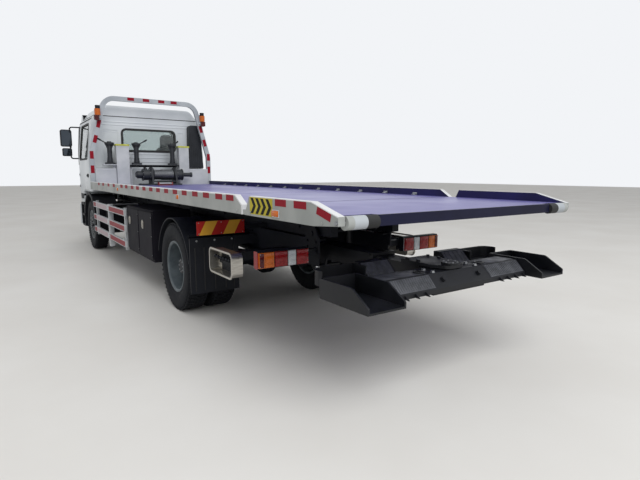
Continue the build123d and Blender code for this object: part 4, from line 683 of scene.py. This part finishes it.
piece = startPiece()
for y in bedSpec["rings"]:
    addBlock(piece, "zincSteel", (1.184, 1.19), span(y, 0.034), (1.336, 1.366), 0.002)
    addBolts(piece, [(1.184, y - 0.024, 1.352), (1.184, y + 0.024, 1.352)], (-1, 0, 0), 0.006)
    addRing(piece, "zincSteel", (1.166, y, 1.3415), (0.12, 0, 1), 0.021, 0.0042, 20, 8)
addBolts(piece, [(face, y, 1.285) for y in (8.56, 7.60, 7.36)], outward, 0.010, "railEnamel")
addBolts(piece, [(face, 8.705, 1.296)], outward, 0.013)
mirrorAcross(piece)
finishPiece("lashing_rings", piece, "bed")

piece = startPiece()
addBlock(piece, "seamFiller", span(0, 1.19), span(bedSpec["seam"], 0.008), (top, 1.3358))
for y in bedSpec["welds"]:  # butt welds between the deck sheets
    addBlock(piece, "deckEnamel", span(0, 1.19), span(y, 0.004), (top, 1.3362))
finishPiece("deck_joints", piece, "bed")

# hoop: red tape round its legs and along its bar
hoopSpec = {"y": 0.545, "leg": 1.195, "lean": 0.2545, "bar": [0.41, 0.11, -0.20, -0.46],
            "upright": [1.65, 1.93], "slanted": [(1.114, 2.24), (1.037, 2.535)], "halfWidth": 0.034,
            "halfLength": 0.075}
piece = startPiece()
tape = (hoopSpec["y"] + 0.03, hoopSpec["y"] + 0.0312)
wide, half = hoopSpec["halfWidth"], hoopSpec["halfLength"]
for z in hoopSpec["upright"]:
    addBlock(piece, "tapeRed", span(hoopSpec["leg"], wide), tape, span(z, half))
for x, z in hoopSpec["slanted"]:
    addBlock(piece, "tapeRed", span(x, wide), tape, span(z, half), 0, Matrix.Rotation(-hoopSpec["lean"], 3, "Y"))
addBlock(piece, "guardPaint", (1.15, 1.19), (0.577, 0.60), (1.336, 1.40), 0.003)
addBolts(piece, [(1.17, 0.60, 1.385)], rearward, 0.009)
mirrorAcross(piece)
for x in hoopSpec["bar"]:
    addBlock(piece, "tapeRed", span(x, 0.065), tape, (3.025, 3.085))
finishPiece("hoop_tapes", piece, "bed")

# shoulder lamps: ribs of the lenses
piece = startPiece()
for x, radius, spots, finish in ((1.055, 0.0552, (2.715, 2.74, 2.765, 2.79), "lensAmber"),
                                 (1.075, 0.0482, (2.62, 2.64, 2.66, 2.68), "lensDark")):
    for z in spots:
        addRing(piece, finish, (x, 0.63, z), upward, radius, 0.003, 28, 6)
mirrorAcross(piece)
finishPiece("shoulder_lamp_ribs", piece, "bed")

# rope guards: screws of the caps and folded edges of the sheets
piece = startPiece()
for x0, x1 in ((0.50, 0.78), (-0.73, -0.48)):
    addBolts(piece, [(x, y, 2.15) for x in (x0 + 0.03, x1 - 0.03) for y in (0.53, 0.66)], upward, 0.007)
for x0, x1, top, y in ((0.52, 0.76, 2.09, 0.68), (-0.71, -0.50, 2.09, 0.68), (0.765, 1.15, 1.64, 0.62),
                       (-1.15, -0.715, 1.64, 0.62)):
    addPlate(piece, "guardPaint", rectangle(x0 + 0.02, x1 - 0.02, 1.36, top), "Y", y, y + 0.003, 0.02, 0.008)
finishPiece("rope_guard_folds", piece, "bed")

# lift forks in the rack: knobs on the levers, rings round the columns, screws of the feet
piece = startPiece()
for x, reach in ((0.870, 0.190), (0.360, -0.190), (-0.375, -0.120)):
    addRod(piece, "mouldedBlack", (x + reach * 0.8, 0.605, 2.218), (x + reach * 1.12, 0.605, 2.253), 0.016, 12)
    for z, radius, thick, steps in ((2.16, 0.086, 0.006, 30), (1.80, 0.046, 0.008, 24), (2.00, 0.042, 0.006, 24)):
        addRing(piece, "castIron", (x, 0.605, z), upward, radius, thick, steps, 6)
    addBolts(piece, [(x - 0.075, 0.605, 1.785), (x + 0.075, 0.605, 1.785)], upward, 0.009)
finishPiece("fork_details", piece, "bed")

# winch: wound rope, flange screws and the red fairlead behind the drum
winchSpec = {"y": 0.9, "z": 1.545, "rope": 0.006, "drum": 0.088, "from": -0.272, "to": 0.12}
piece = startPiece()
pitch = winchSpec["rope"] * 2.05
turns = int((winchSpec["to"] - winchSpec["from"]) / pitch)
for number in range(turns):
    x = winchSpec["from"] + pitch * (number + 0.5)
    spot = (x, winchSpec["y"], winchSpec["z"])
    addRing(piece, "ropeSteel", spot, outward, winchSpec["drum"] + winchSpec["rope"] * 0.9, winchSpec["rope"], 26, 6)
    if number < turns * 0.6:
        addRing(piece, "ropeSteel", (x + pitch / 2, *spot[1:]), outward, winchSpec["drum"] + winchSpec["rope"] * 2.6,
                winchSpec["rope"], 26, 6)
finishPiece("winch_rope", piece, "winch_drum")

piece = startPiece()
for x, out, radius in ((0.334, 1, 0.105), (-0.474, -1, 0.103), (0.2, 1, 0.118), (-0.350, -1, 0.115)):
    addBolts(piece, boltCircle(x, winchSpec["y"], winchSpec["z"], radius, 8, 0.5), (out, 0, 0), 0.008)
addBolts(piece, [(x, y, 1.365) for x in (-0.39, 0.35) for y in (0.78, 1.02)], upward, 0.014)
addRod(piece, "sealRubber", (0.29, 0.9, 1.65), (0.29, 0.9, 1.70), 0.02, 14)
addRod(piece, "castIron", (0.25, 0.9, 1.66), (0.25, 0.80, 1.69), 0.014, 12)
finishPiece("winch_screws", piece, "bed")

piece = startPiece()
addBlock(piece, "redEnamel", (-0.17, 0.11), (1.13, 1.25), (1.3352, 1.347), 0.002)
cheek = [(1.14, 1.345), (1.24, 1.345), (1.225, 1.398), (1.155, 1.398)]
for x in (-0.17, 0.095):
    addPlate(piece, "redEnamel", cheek, "X", x, x + 0.015, 0.006)
for y in (1.168, 1.212):
    addRod(piece, "zincSteel", (-0.155, y, 1.372), (0.095, y, 1.372), 0.016, 20)
addBolts(piece, [(-0.15, 1.147, 1.347), (0.09, 1.147, 1.347)], upward, 0.008)
finishPiece("rope_fairlead", piece, "bed")
print("bed done")

# side guards: tape on the rails, screws on the posts and a marker lamp
guardSpec = {"rails": (0.45, 0.69, 0.93),
             "tapes": ((0.72, 0.95, "tapeFaded"), (1.02, 1.98, "tapeWhite"), (2.17, 3.27, "tapeFaded"))}
piece = startPiece()
for low in guardSpec["rails"]:
    for y0, y1, finish in guardSpec["tapes"]:
        addBlock(piece, finish, (1.24, 1.2412), (y0, y1), (low + 0.012, low + 0.088))
    addBolts(piece, [(1.24, 2.11, low + 0.03), (1.24, 2.11, low + 0.075)], outward, 0.008)
    addBolts(piece, [(1.24, y, low + 0.012) for y in (0.80, 3.17)], outward, 0.007)
addBlock(piece, "lensClear", (1.24, 1.254), (3.20, 3.26), (0.555, 0.585), 0.005)
mirrorAcross(piece)
finishPiece("guard_tapes", piece, "chassis")

# toolboxes: hinges with their screws and the drip edge
piece = startPiece()
for y0, y1 in ((3.34, 4.002), (4.018, 4.68)):
    addRod(piece, "boxPaint", (1.2045, y1 - 0.006, 0.50), (1.2045, y1 - 0.006, 1.03), 0.006, 8)
    addBolts(piece, [(1.204, y1 - 0.03, z) for z in (0.52, 0.765, 1.01)], outward, 0.006)
addBlock(piece, "boxPaint", (1.19, 1.212), (3.325, 4.695), (1.078, 1.088), 0.002)
mirrorAcross(piece)
finishPiece("toolbox_hinges", piece, "chassis")

# warning boards, control boxes and mudflaps: rivets and ribs
piece = startPiece()
for x in (0.70, 0.94, 1.18):
    for z in (0.975, 1.085):
        addRod(piece, "zincSteel", (x, 6.308, z), (x, 6.3105, z), 0.006, 10)
for z in (0.655, 0.847):
    for y in (6.53, 6.98):
        addRod(piece, "zincSteel", (1.15, y, z), (1.152, y, z), 0.005, 10)
for x in (0.70, 0.80, 0.92, 1.04, 1.14):
    addBlock(piece, "sealRubber", span(x, 0.006), (6.065, 6.070), (0.33, 0.80), 0.002)
addBolts(piece, [(x, 6.065, 0.87) for x in (0.72, 0.92, 1.12)], rearward, 0.009)
mirrorAcross(piece)
finishPiece("board_rivets", piece, "chassis")

# tail lamps: a lens with rings in every field, dark joints and screws
tailSpec = {"front": 7.414, "z": 0.86,
            "fields": ((0.592, 0.715, "lensRed"), (0.720, 0.800, "lensClear"), (0.805, 0.930, "lensRed"),
                       (0.935, 1.025, "lensAmber"), (1.03, 1.075, "lensDark"))}
piece = startPiece()
for x0, x1, finish in tailSpec["fields"]:
    y = tailSpec["front"]
    addBlock(piece, finish, (x0 + 0.003, x1 - 0.003), (y, y + 0.006), (0.799, 0.921), 0.003)
    reach = min((x1 - x0) / 2 - 0.008, 0.045)
    for radius in (reach, reach * 0.6):
        addRing(piece, finish, ((x0 + x1) / 2, y + 0.006, tailSpec["z"]), rearward, radius, 0.0022, 30, 6)
for x in (0.7175, 0.8025, 0.9325):
    addBlock(piece, "mouldedBlack", span(x, 0.002), (7.400, 7.416), (0.79, 0.93))
for x in (0.60, 1.07):
    for z in (0.806, 0.914):
        addRod(piece, "zincSteel", (x, 7.42, z), (x, 7.422, z), 0.004, 8)
mirrorAcross(piece)
finishPiece("tail_lamp_lenses", piece, "chassis")

# chassis: bolt rows of the crossmembers
piece = startPiece()
for y in (1.34, 2.62, 3.70, 4.65, 5.93):
    spots = [(0.43, y + shift, z) for shift in (-0.06, 0.0, 0.06) for z in (0.79, 0.86, 0.93)]
    addBolts(piece, spots, outward, 0.011, "chassisPaint")
for y in (7.18, 7.32):
    addBolts(piece, [(0.45, y, 0.90), (0.45, y, 0.96)], outward, 0.013, "chassisPaint")
mirrorAcross(piece)
finishPiece("frame_bolts", piece, "chassis")
print("chassis details done")

# cab: seals, pressed beads, drip rails, pillar trims, wipers, lamps and mirror glass
cabSpec = {"rear": 0.27, "seam": (2.722, 2.7348), "drip": (2.654, 2.678),
           # both ends across the truck, levels, half the height, edge
           "beads": ((0.65, 0.90, (2.42, 2.10), 0.008, 0.004), (-0.54, 0.54, (1.82, 1.90, 1.98), 0.014, 0.006),
                     (-1.08, 1.08, (1.66, 1.69), 0.007, 0.004), (-0.98, 0.98, (2.62, 2.56), 0.012, 0.006))}
piece = startPiece()
rear = cabSpec["rear"]
addPlate(piece, "sealRubber", rectangle(-0.572, 0.572, 2.018, 2.502), "Y", rear, rear + 0.010, 0.11, 0.044)
addSkin(piece, "sealRubber", "cab_shell", (-1.3, 1.3), (-1.05, 0.4), cabSpec["seam"], 0.0035)
for x in ((1.0, 1.3), (-1.3, -1.0)):
    addSkin(piece, "sealRubber", "cab_shell", x, (-1.2, 0.24), cabSpec["drip"], 0.007)
for x in ((0.9, 1.3), (-1.3, -0.9)):
    addSkin(piece, "mouldedBlack", "cab_shell", x, (-1.36, -1.105), (1.76, 2.60), 0.006)
finishPiece("cab_seals", piece, "cab")

piece = startPiece()
for x0, x1 in ((0.62, 0.93), (-0.75, -0.60)):
    addPlate(piece, "cabEnamel", rectangle(x0, x1, 1.74, 2.47), "Y", rear - 0.004, rear + 0.009, 0.04, 0.018)
for x0, x1, levels, half, edge in cabSpec["beads"]:
    for z in levels:
        addBlock(piece, "cabEnamel", (x0, x1), (rear - edge, rear + edge + 0.001), span(z, half), edge)
finishPiece("cab_beads", piece, "cab")

piece = startPiece()
for x in (-0.5, 0.0, 0.5):
    addBlock(piece, "lensAmber", span(x, 0.045), (-0.99, -0.93), (2.948, 2.972), 0.009)
for x, reach in ((0.10, 0.62), (-0.72, -0.10)):
    # arm and blade lie over the foot of the windscreen
    addRod(piece, "mouldedBlack", (x, -1.374, 1.775), (reach, -1.368, 1.835), 0.009, 8)
    addRod(piece, "sealRubber", (x + 0.14, -1.372, 1.80), (reach + 0.16, -1.366, 1.86), 0.006, 8)
    addRod(piece, "mouldedBlack", (x, -1.36, 1.77), (x, -1.384, 1.775), 0.022, 14)
for side, sign in sides[::-1]:
    for x0, x1, z0, z1 in ((1.318, 1.507, 2.178, 2.512), (1.326, 1.484, 1.966, 2.109)):
        addPlate(piece, "mirrorGlass", rectangle(sign * x0, sign * x1, z0, z1), "Y", -1.18, -1.177, 0.03)
    addRod(piece, "mouldedBlack", (sign * 1.33, -1.225, 2.14), (sign * 1.33, -1.225, 2.18), 0.022, 12)
finishPiece("cab_fittings", piece, "cab")

# front: lamp bowls with chrome rims in dark housings, turn signals and fog lamps
fogLens = [(0, 0.003), (0.028, 0.002), (0.042, -0.001), (0, -0.001)]
piece = startPiece()
for side, sign in sides[::-1]:
    for x, radius in ((0.745, 0.052), (0.885, 0.045)):
        bowl = [(0, 0.0075), (radius * 0.5, 0.0065), (radius * 0.85, 0.002), (radius * 0.9, -0.004), (0, -0.004)]
        addLathe(piece, "lensClear", bowl, (sign * x, -1.3875, 0.745), (0, -1, 0), 32)
        addRing(piece, "chromeRod", (sign * x, -1.388, 0.745), rearward, radius, 0.005, 36, 8)
    addBlock(piece, "lensAmber", (sign * 1.00, sign * 1.095), (-1.372, -1.30), (0.70, 0.79), 0.012,
             Matrix.Rotation(sign * 0.45, 3, "Z"))
    fog = (sign * 0.80, -1.3965, 0.55)
    addRod(piece, "mouldedBlack", (sign * 0.80, -1.38, 0.55), fog, 0.062, 36)
    addLathe(piece, "lensClear", fogLens, fog, (0, -1, 0), 32)
    addRing(piece, "chromeRod", fog, rearward, 0.043, 0.0025, 36, 6)
finishPiece("front_lamps", piece, "chassis")

# doors: window seals that lean with the panel, grips and lower trims
doorSpec = {"sill": 1.604, "slack": 0.0305, "lean": 0.10135,
            "window": [(-0.962, 1.848), (0.078, 1.848), (0.078, 2.592), (-0.884, 2.592)]}


def doorLean(spot):
    # how far the panel has leaned in at this height
    return min(0.0, doorSpec["slack"] - (spot.z - doorSpec["sill"]) * doorSpec["lean"])


for side, sign in sides:
    piece = startPiece()
    addPlate(piece, "sealRubber", doorSpec["window"], "X", 1.1985, 1.2055, 0.08, 0.034, doorLean)
    addBlock(piece, "mouldedBlack", (1.2, 1.203), (-0.075, 0.105), (1.488, 1.562), 0.0012)
    addSkin(piece, "mouldedBlack", "door_left", (1.1, 1.3), (-1.04, -0.62), (1.02, 1.13), 0.004)
    if sign < 0:
        bmesh.ops.scale(piece["bm"], vec=(-1, 1, 1), verts=piece["bm"].verts)
        bmesh.ops.recalc_face_normals(piece["bm"], faces=piece["bm"].faces)
    finishPiece(f"door_trim_{side}", piece, f"door_{side}")
print("cab details done")

# underlift: tread bars, scuffed plates and bolts
liftSpec = {"slopeTurn": -0.8018, "slope": (8.605, 0.8185), "treads": 20, "from": 0.315, "to": 0.745}
piece = startPiece()
y, z = liftSpec["slope"]
turn = Matrix.Rotation(liftSpec["slopeTurn"], 3, "X")
addBlock(piece, "scuffedPaint", (liftSpec["from"], liftSpec["to"]), span(y, 0.055), (z - 0.0012, z + 0.0035), 0, turn)
step = (liftSpec["to"] - liftSpec["from"]) / liftSpec["treads"]
for number in range(liftSpec["treads"]):
    x = liftSpec["from"] + step * (number + 0.5)
    addBlock(piece, "scuffedPaint", span(x, 0.0045), span(y, 0.048), (z + 0.002, z + 0.009), 0.0015, turn)
addBlock(piece, "scuffedPaint", (0.32, 0.74), (8.40, 8.545), (0.865, 0.868), 0.001)
mirrorAcross(piece)
addBolts(piece, [(x, y, 0.865) for y in (8.45, 8.54) for x in (-0.24, 0.24)], upward, 0.016)
addBolts(piece, [(x, 8.607, 0.823) for x in (-0.2, 0.2)], (0, 0.7187, 0.6955), 0.018, "liftPaint")
finishPiece("crossbar_treads", piece, "crossbar")

piece = startPiece()
turn = Matrix.Rotation(-0.762, 3, "X")
addBlock(piece, "scuffedPaint", (0.315, 0.585), span(8.178, 0.066), (0.8565, 0.861), 0, turn)
for x in (0.345, 0.40, 0.455, 0.51, 0.56):
    addBlock(piece, "scuffedPaint", span(x, 0.004), span(8.178, 0.055), (0.8595, 0.8645), 0.001, turn)
addBolts(piece, [(0.33, 8.34, 0.82), (0.33, 8.26, 0.82)], upward, 0.014, "liftPaint")
mirrorAcross(piece)
finishPiece("cradle_treads", piece, "crossbar")

piece = startPiece()
for number in range(6):
    angle = math.tau * number / 6
    addBolts(piece, [(math.cos(angle) * 0.052, 8.5 + math.sin(angle) * 0.052, 0.912)], upward, 0.007)
addBolts(piece, [(x, y, 0.897) for x in (-0.12, 0.12) for y in (8.16, 8.28)], upward, 0.014, "liftPaint")
finishPiece("head_bolts", piece, "lift_extension")

piece = startPiece()
for x in (-1, 1):
    spots = [(x * 0.132, y, z) for y, z in ((7.705, 0.73), (7.705, 0.87), (7.735, 0.80))]
    addBolts(piece, spots, (x, 0, 0), 0.012, "liftPaint")
finishPiece("boom_bolts", piece, "lift_boom")
print("underlift done")

# seats: plinths, then padded cushions, backs and head parts blown up a little as cloth
seatSpec = {
    "edge": 0.026, "voxel": 0.009, "pressure": 4.0, "frames": 18, "cap": 0.012, "seamWidth": 0.010, "seamDepth": 0.007,
    "cushion": [(-0.650, 1.508), (-0.130, 1.490), (-0.138, 1.580), (-0.650, 1.628)],
    "back": [(-0.150, 1.568), (-0.038, 1.552), (0.028, 2.150), (-0.070, 2.150)],
    "head": [(-0.058, 2.115), (0.040, 2.125), (0.050, 2.430), (-0.024, 2.430)],
    "places": ((0.610, 0.225), (-0.440, 0.230)),
}
piece = startPiece()
for x, half in seatSpec["places"]:
    addBlock(piece, "mouldedBlack", (x - half + 0.05, x + half - 0.05), (-0.58, -0.16), (1.246, 1.50), 0.015)
finishPiece("seat_plinths", piece, "cab", ("seats",))


def makePad(name, corners, x0, x1, seams, run, radius):
    # the top corners of a back (run 1) or the front corners of a cushion (run 2) are rounded first, then every edge
    piece = startPiece()
    addPlate(piece, "seatCloth", corners, "X", x0, x1)
    bm = piece["bm"]
    middle = sum((vert.co for vert in bm.verts), Vector()) / len(bm.verts)
    ends = []
    for edge in bm.edges:
        start, end = (vert.co for vert in edge.verts)
        spot = (start + end) / 2
        runsAlong = abs((end - start)[run]) > 0.8 * edge.calc_length()
        if runsAlong and (spot.z > middle.z if run == 1 else spot.y < middle.y):
            ends.append(edge)
    roundOff(bm, ends, radius, 5)
    sharp = [edge for edge in bm.edges if edge.calc_face_angle(0) > 0.6]
    roundOff(bm, sharp, seatSpec["edge"], 3)
    pad = finishPiece(name, piece, "cab", ("seats",))
    remesh = pad.modifiers.new("remesh", "REMESH")
    remesh.mode = "VOXEL"
    remesh.voxel_size = seatSpec["voxel"]
    view = bpy.context.evaluated_depsgraph_get()
    pad.data = bpy.data.meshes.new_from_object(pad.evaluated_get(view))
    pad.modifiers.clear()
    before = [vert.co.copy() for vert in pad.data.vertices]
    after = before
    cloth = pad.modifiers.new("cloth", "CLOTH")
    cloth.settings.use_pressure = True
    cloth.settings.uniform_pressure_force = seatSpec["pressure"]
    cloth.settings.effector_weights.gravity = 0
    cloth.point_cache.frame_start = 1
    cloth.point_cache.frame_end = seatSpec["frames"]
    for number in range(1, seatSpec["frames"] + 1):
        bpy.context.scene.frame_set(number)
    blown = pad.evaluated_get(bpy.context.evaluated_depsgraph_get())
    after = [vert.co.copy() for vert in blown.to_mesh().vertices]
    blown.to_mesh_clear()
    pad.modifiers.clear()
    bpy.context.scene.frame_set(1)
    normals = [vert.normal.copy() for vert in pad.data.vertices]
    for vert, start, end, normal in zip(pad.data.vertices, before, after, normals):
        move = end - start
        if move.length > seatSpec["cap"]:
            move *= seatSpec["cap"] / move.length
        spot = start + move
        sewn = sum(math.exp(-((spot[axis] - level) / seatSpec["seamWidth"]) ** 2) for axis, level in seams)
        vert.co = spot - normal * seatSpec["seamDepth"] * min(sewn, 1.0)
    for polygon in pad.data.polygons:
        polygon.use_smooth = True
    if not pad.data.materials:
        pad.data.materials.append(materials["seatCloth"])
    smooth = pad.modifiers.new("smooth", "SUBSURF")
    smooth.levels = smooth.render_levels = 1


for name, (x, half) in zip(("driver", "passenger"), seatSpec["places"]):
    channels = [(0, x - half * 0.5), (0, x + half * 0.5)]
    makePad(f"{name}_cushion", seatSpec["cushion"], x - half, x + half, channels + [(1, -0.40 + shiftY)], 2, 0.07)
    makePad(f"{name}_back", seatSpec["back"], x - half, x + half, channels + [(2, 1.78), (2, 1.98)], 1, 0.09)
    makePad(f"{name}_head", seatSpec["head"], x - 0.15, x + 0.15, [(2, 2.2)], 1, 0.11)
print("seats done")

# floor, light and camera
floorSize = 60
bm = bmesh.new()
bmesh.ops.create_grid(bm, x_segments=2, y_segments=2, size=floorSize)
mesh = bpy.data.meshes.new("floor")
bm.to_mesh(mesh)
bm.free()
floor = newObject("floor", mesh)
tree, shader, place = startMaterial("paleFloor", {"Roughness": 0.9})
colourBetween(tree, shader, addNoise(tree, place, 0.6, 4.0), (0.3, "#DCDAD6"), (0.7, "#E4E3E0"))
mesh.materials.append(materials["paleFloor"])

scene = bpy.context.scene
scene.view_settings.view_transform = "Standard"
world = bpy.data.worlds.new("softStudio")
scene.world = world
world.use_nodes = True
tree = world.node_tree
tree.nodes.clear()
light = {"skyStrength": 0.5, "keyPower": 2900, "keySize": 16.0, "keyPlace": (2.5, 16.0, 15.0), "keyAim": (0, 0, 1)}
path = addNode(tree, "ShaderNodeLightPath")
seen = addMath(tree, "MAXIMUM", path.outputs["Is Camera Ray"], path.outputs["Is Glossy Ray"])
seen = addMath(tree, "MAXIMUM", seen, path.outputs["Is Transmission Ray"])
dim = addNode(tree, "ShaderNodeBackground", {"Color": (1, 1, 1, 1), "Strength": light["skyStrength"]})
plain = addNode(tree, "ShaderNodeBackground", {"Color": linearColour("#F2F4F7"), "Strength": 1.0})
mixed = addNode(tree, "ShaderNodeMixShader", {}, {0: seen, 1: dim.outputs[0], 2: plain.outputs[0]})
addNode(tree, "ShaderNodeOutputWorld", {}, {"Surface": mixed.outputs[0]})

lamp = bpy.data.lights.new("key", "AREA")
lamp.energy = light["keyPower"]
lamp.shape = "SQUARE"
lamp.size = light["keySize"]
lampObject = newObject("key", lamp)
lampObject.location = light["keyPlace"]
lampObject.rotation_euler = (Vector(light["keyAim"]) - lampObject.location).to_track_quat("-Z", "Y").to_euler()

cameraSpec = {"place": (2.848, 7.175, 1.583), "forward": (-0.5611, -0.8158, -0.1398),
              "right": (-0.8239, 0.5667, 0.0021), "lens": 26.64, "sensor": 36, "farEnd": 300}
camera = bpy.data.cameras.new("camera")
camera.lens = cameraSpec["lens"]
camera.sensor_width = cameraSpec["sensor"]
camera.clip_end = cameraSpec["farEnd"]
cameraObject = newObject("camera", camera)
forward = Vector(cameraSpec["forward"]).normalized()
right = Vector(cameraSpec["right"]).normalized()
turn = Matrix((right, right.cross(forward), -forward)).transposed().to_4x4()
cameraObject.matrix_world = Matrix.Translation(cameraSpec["place"]) @ turn
scene.camera = cameraObject
print("floor, light and camera set")
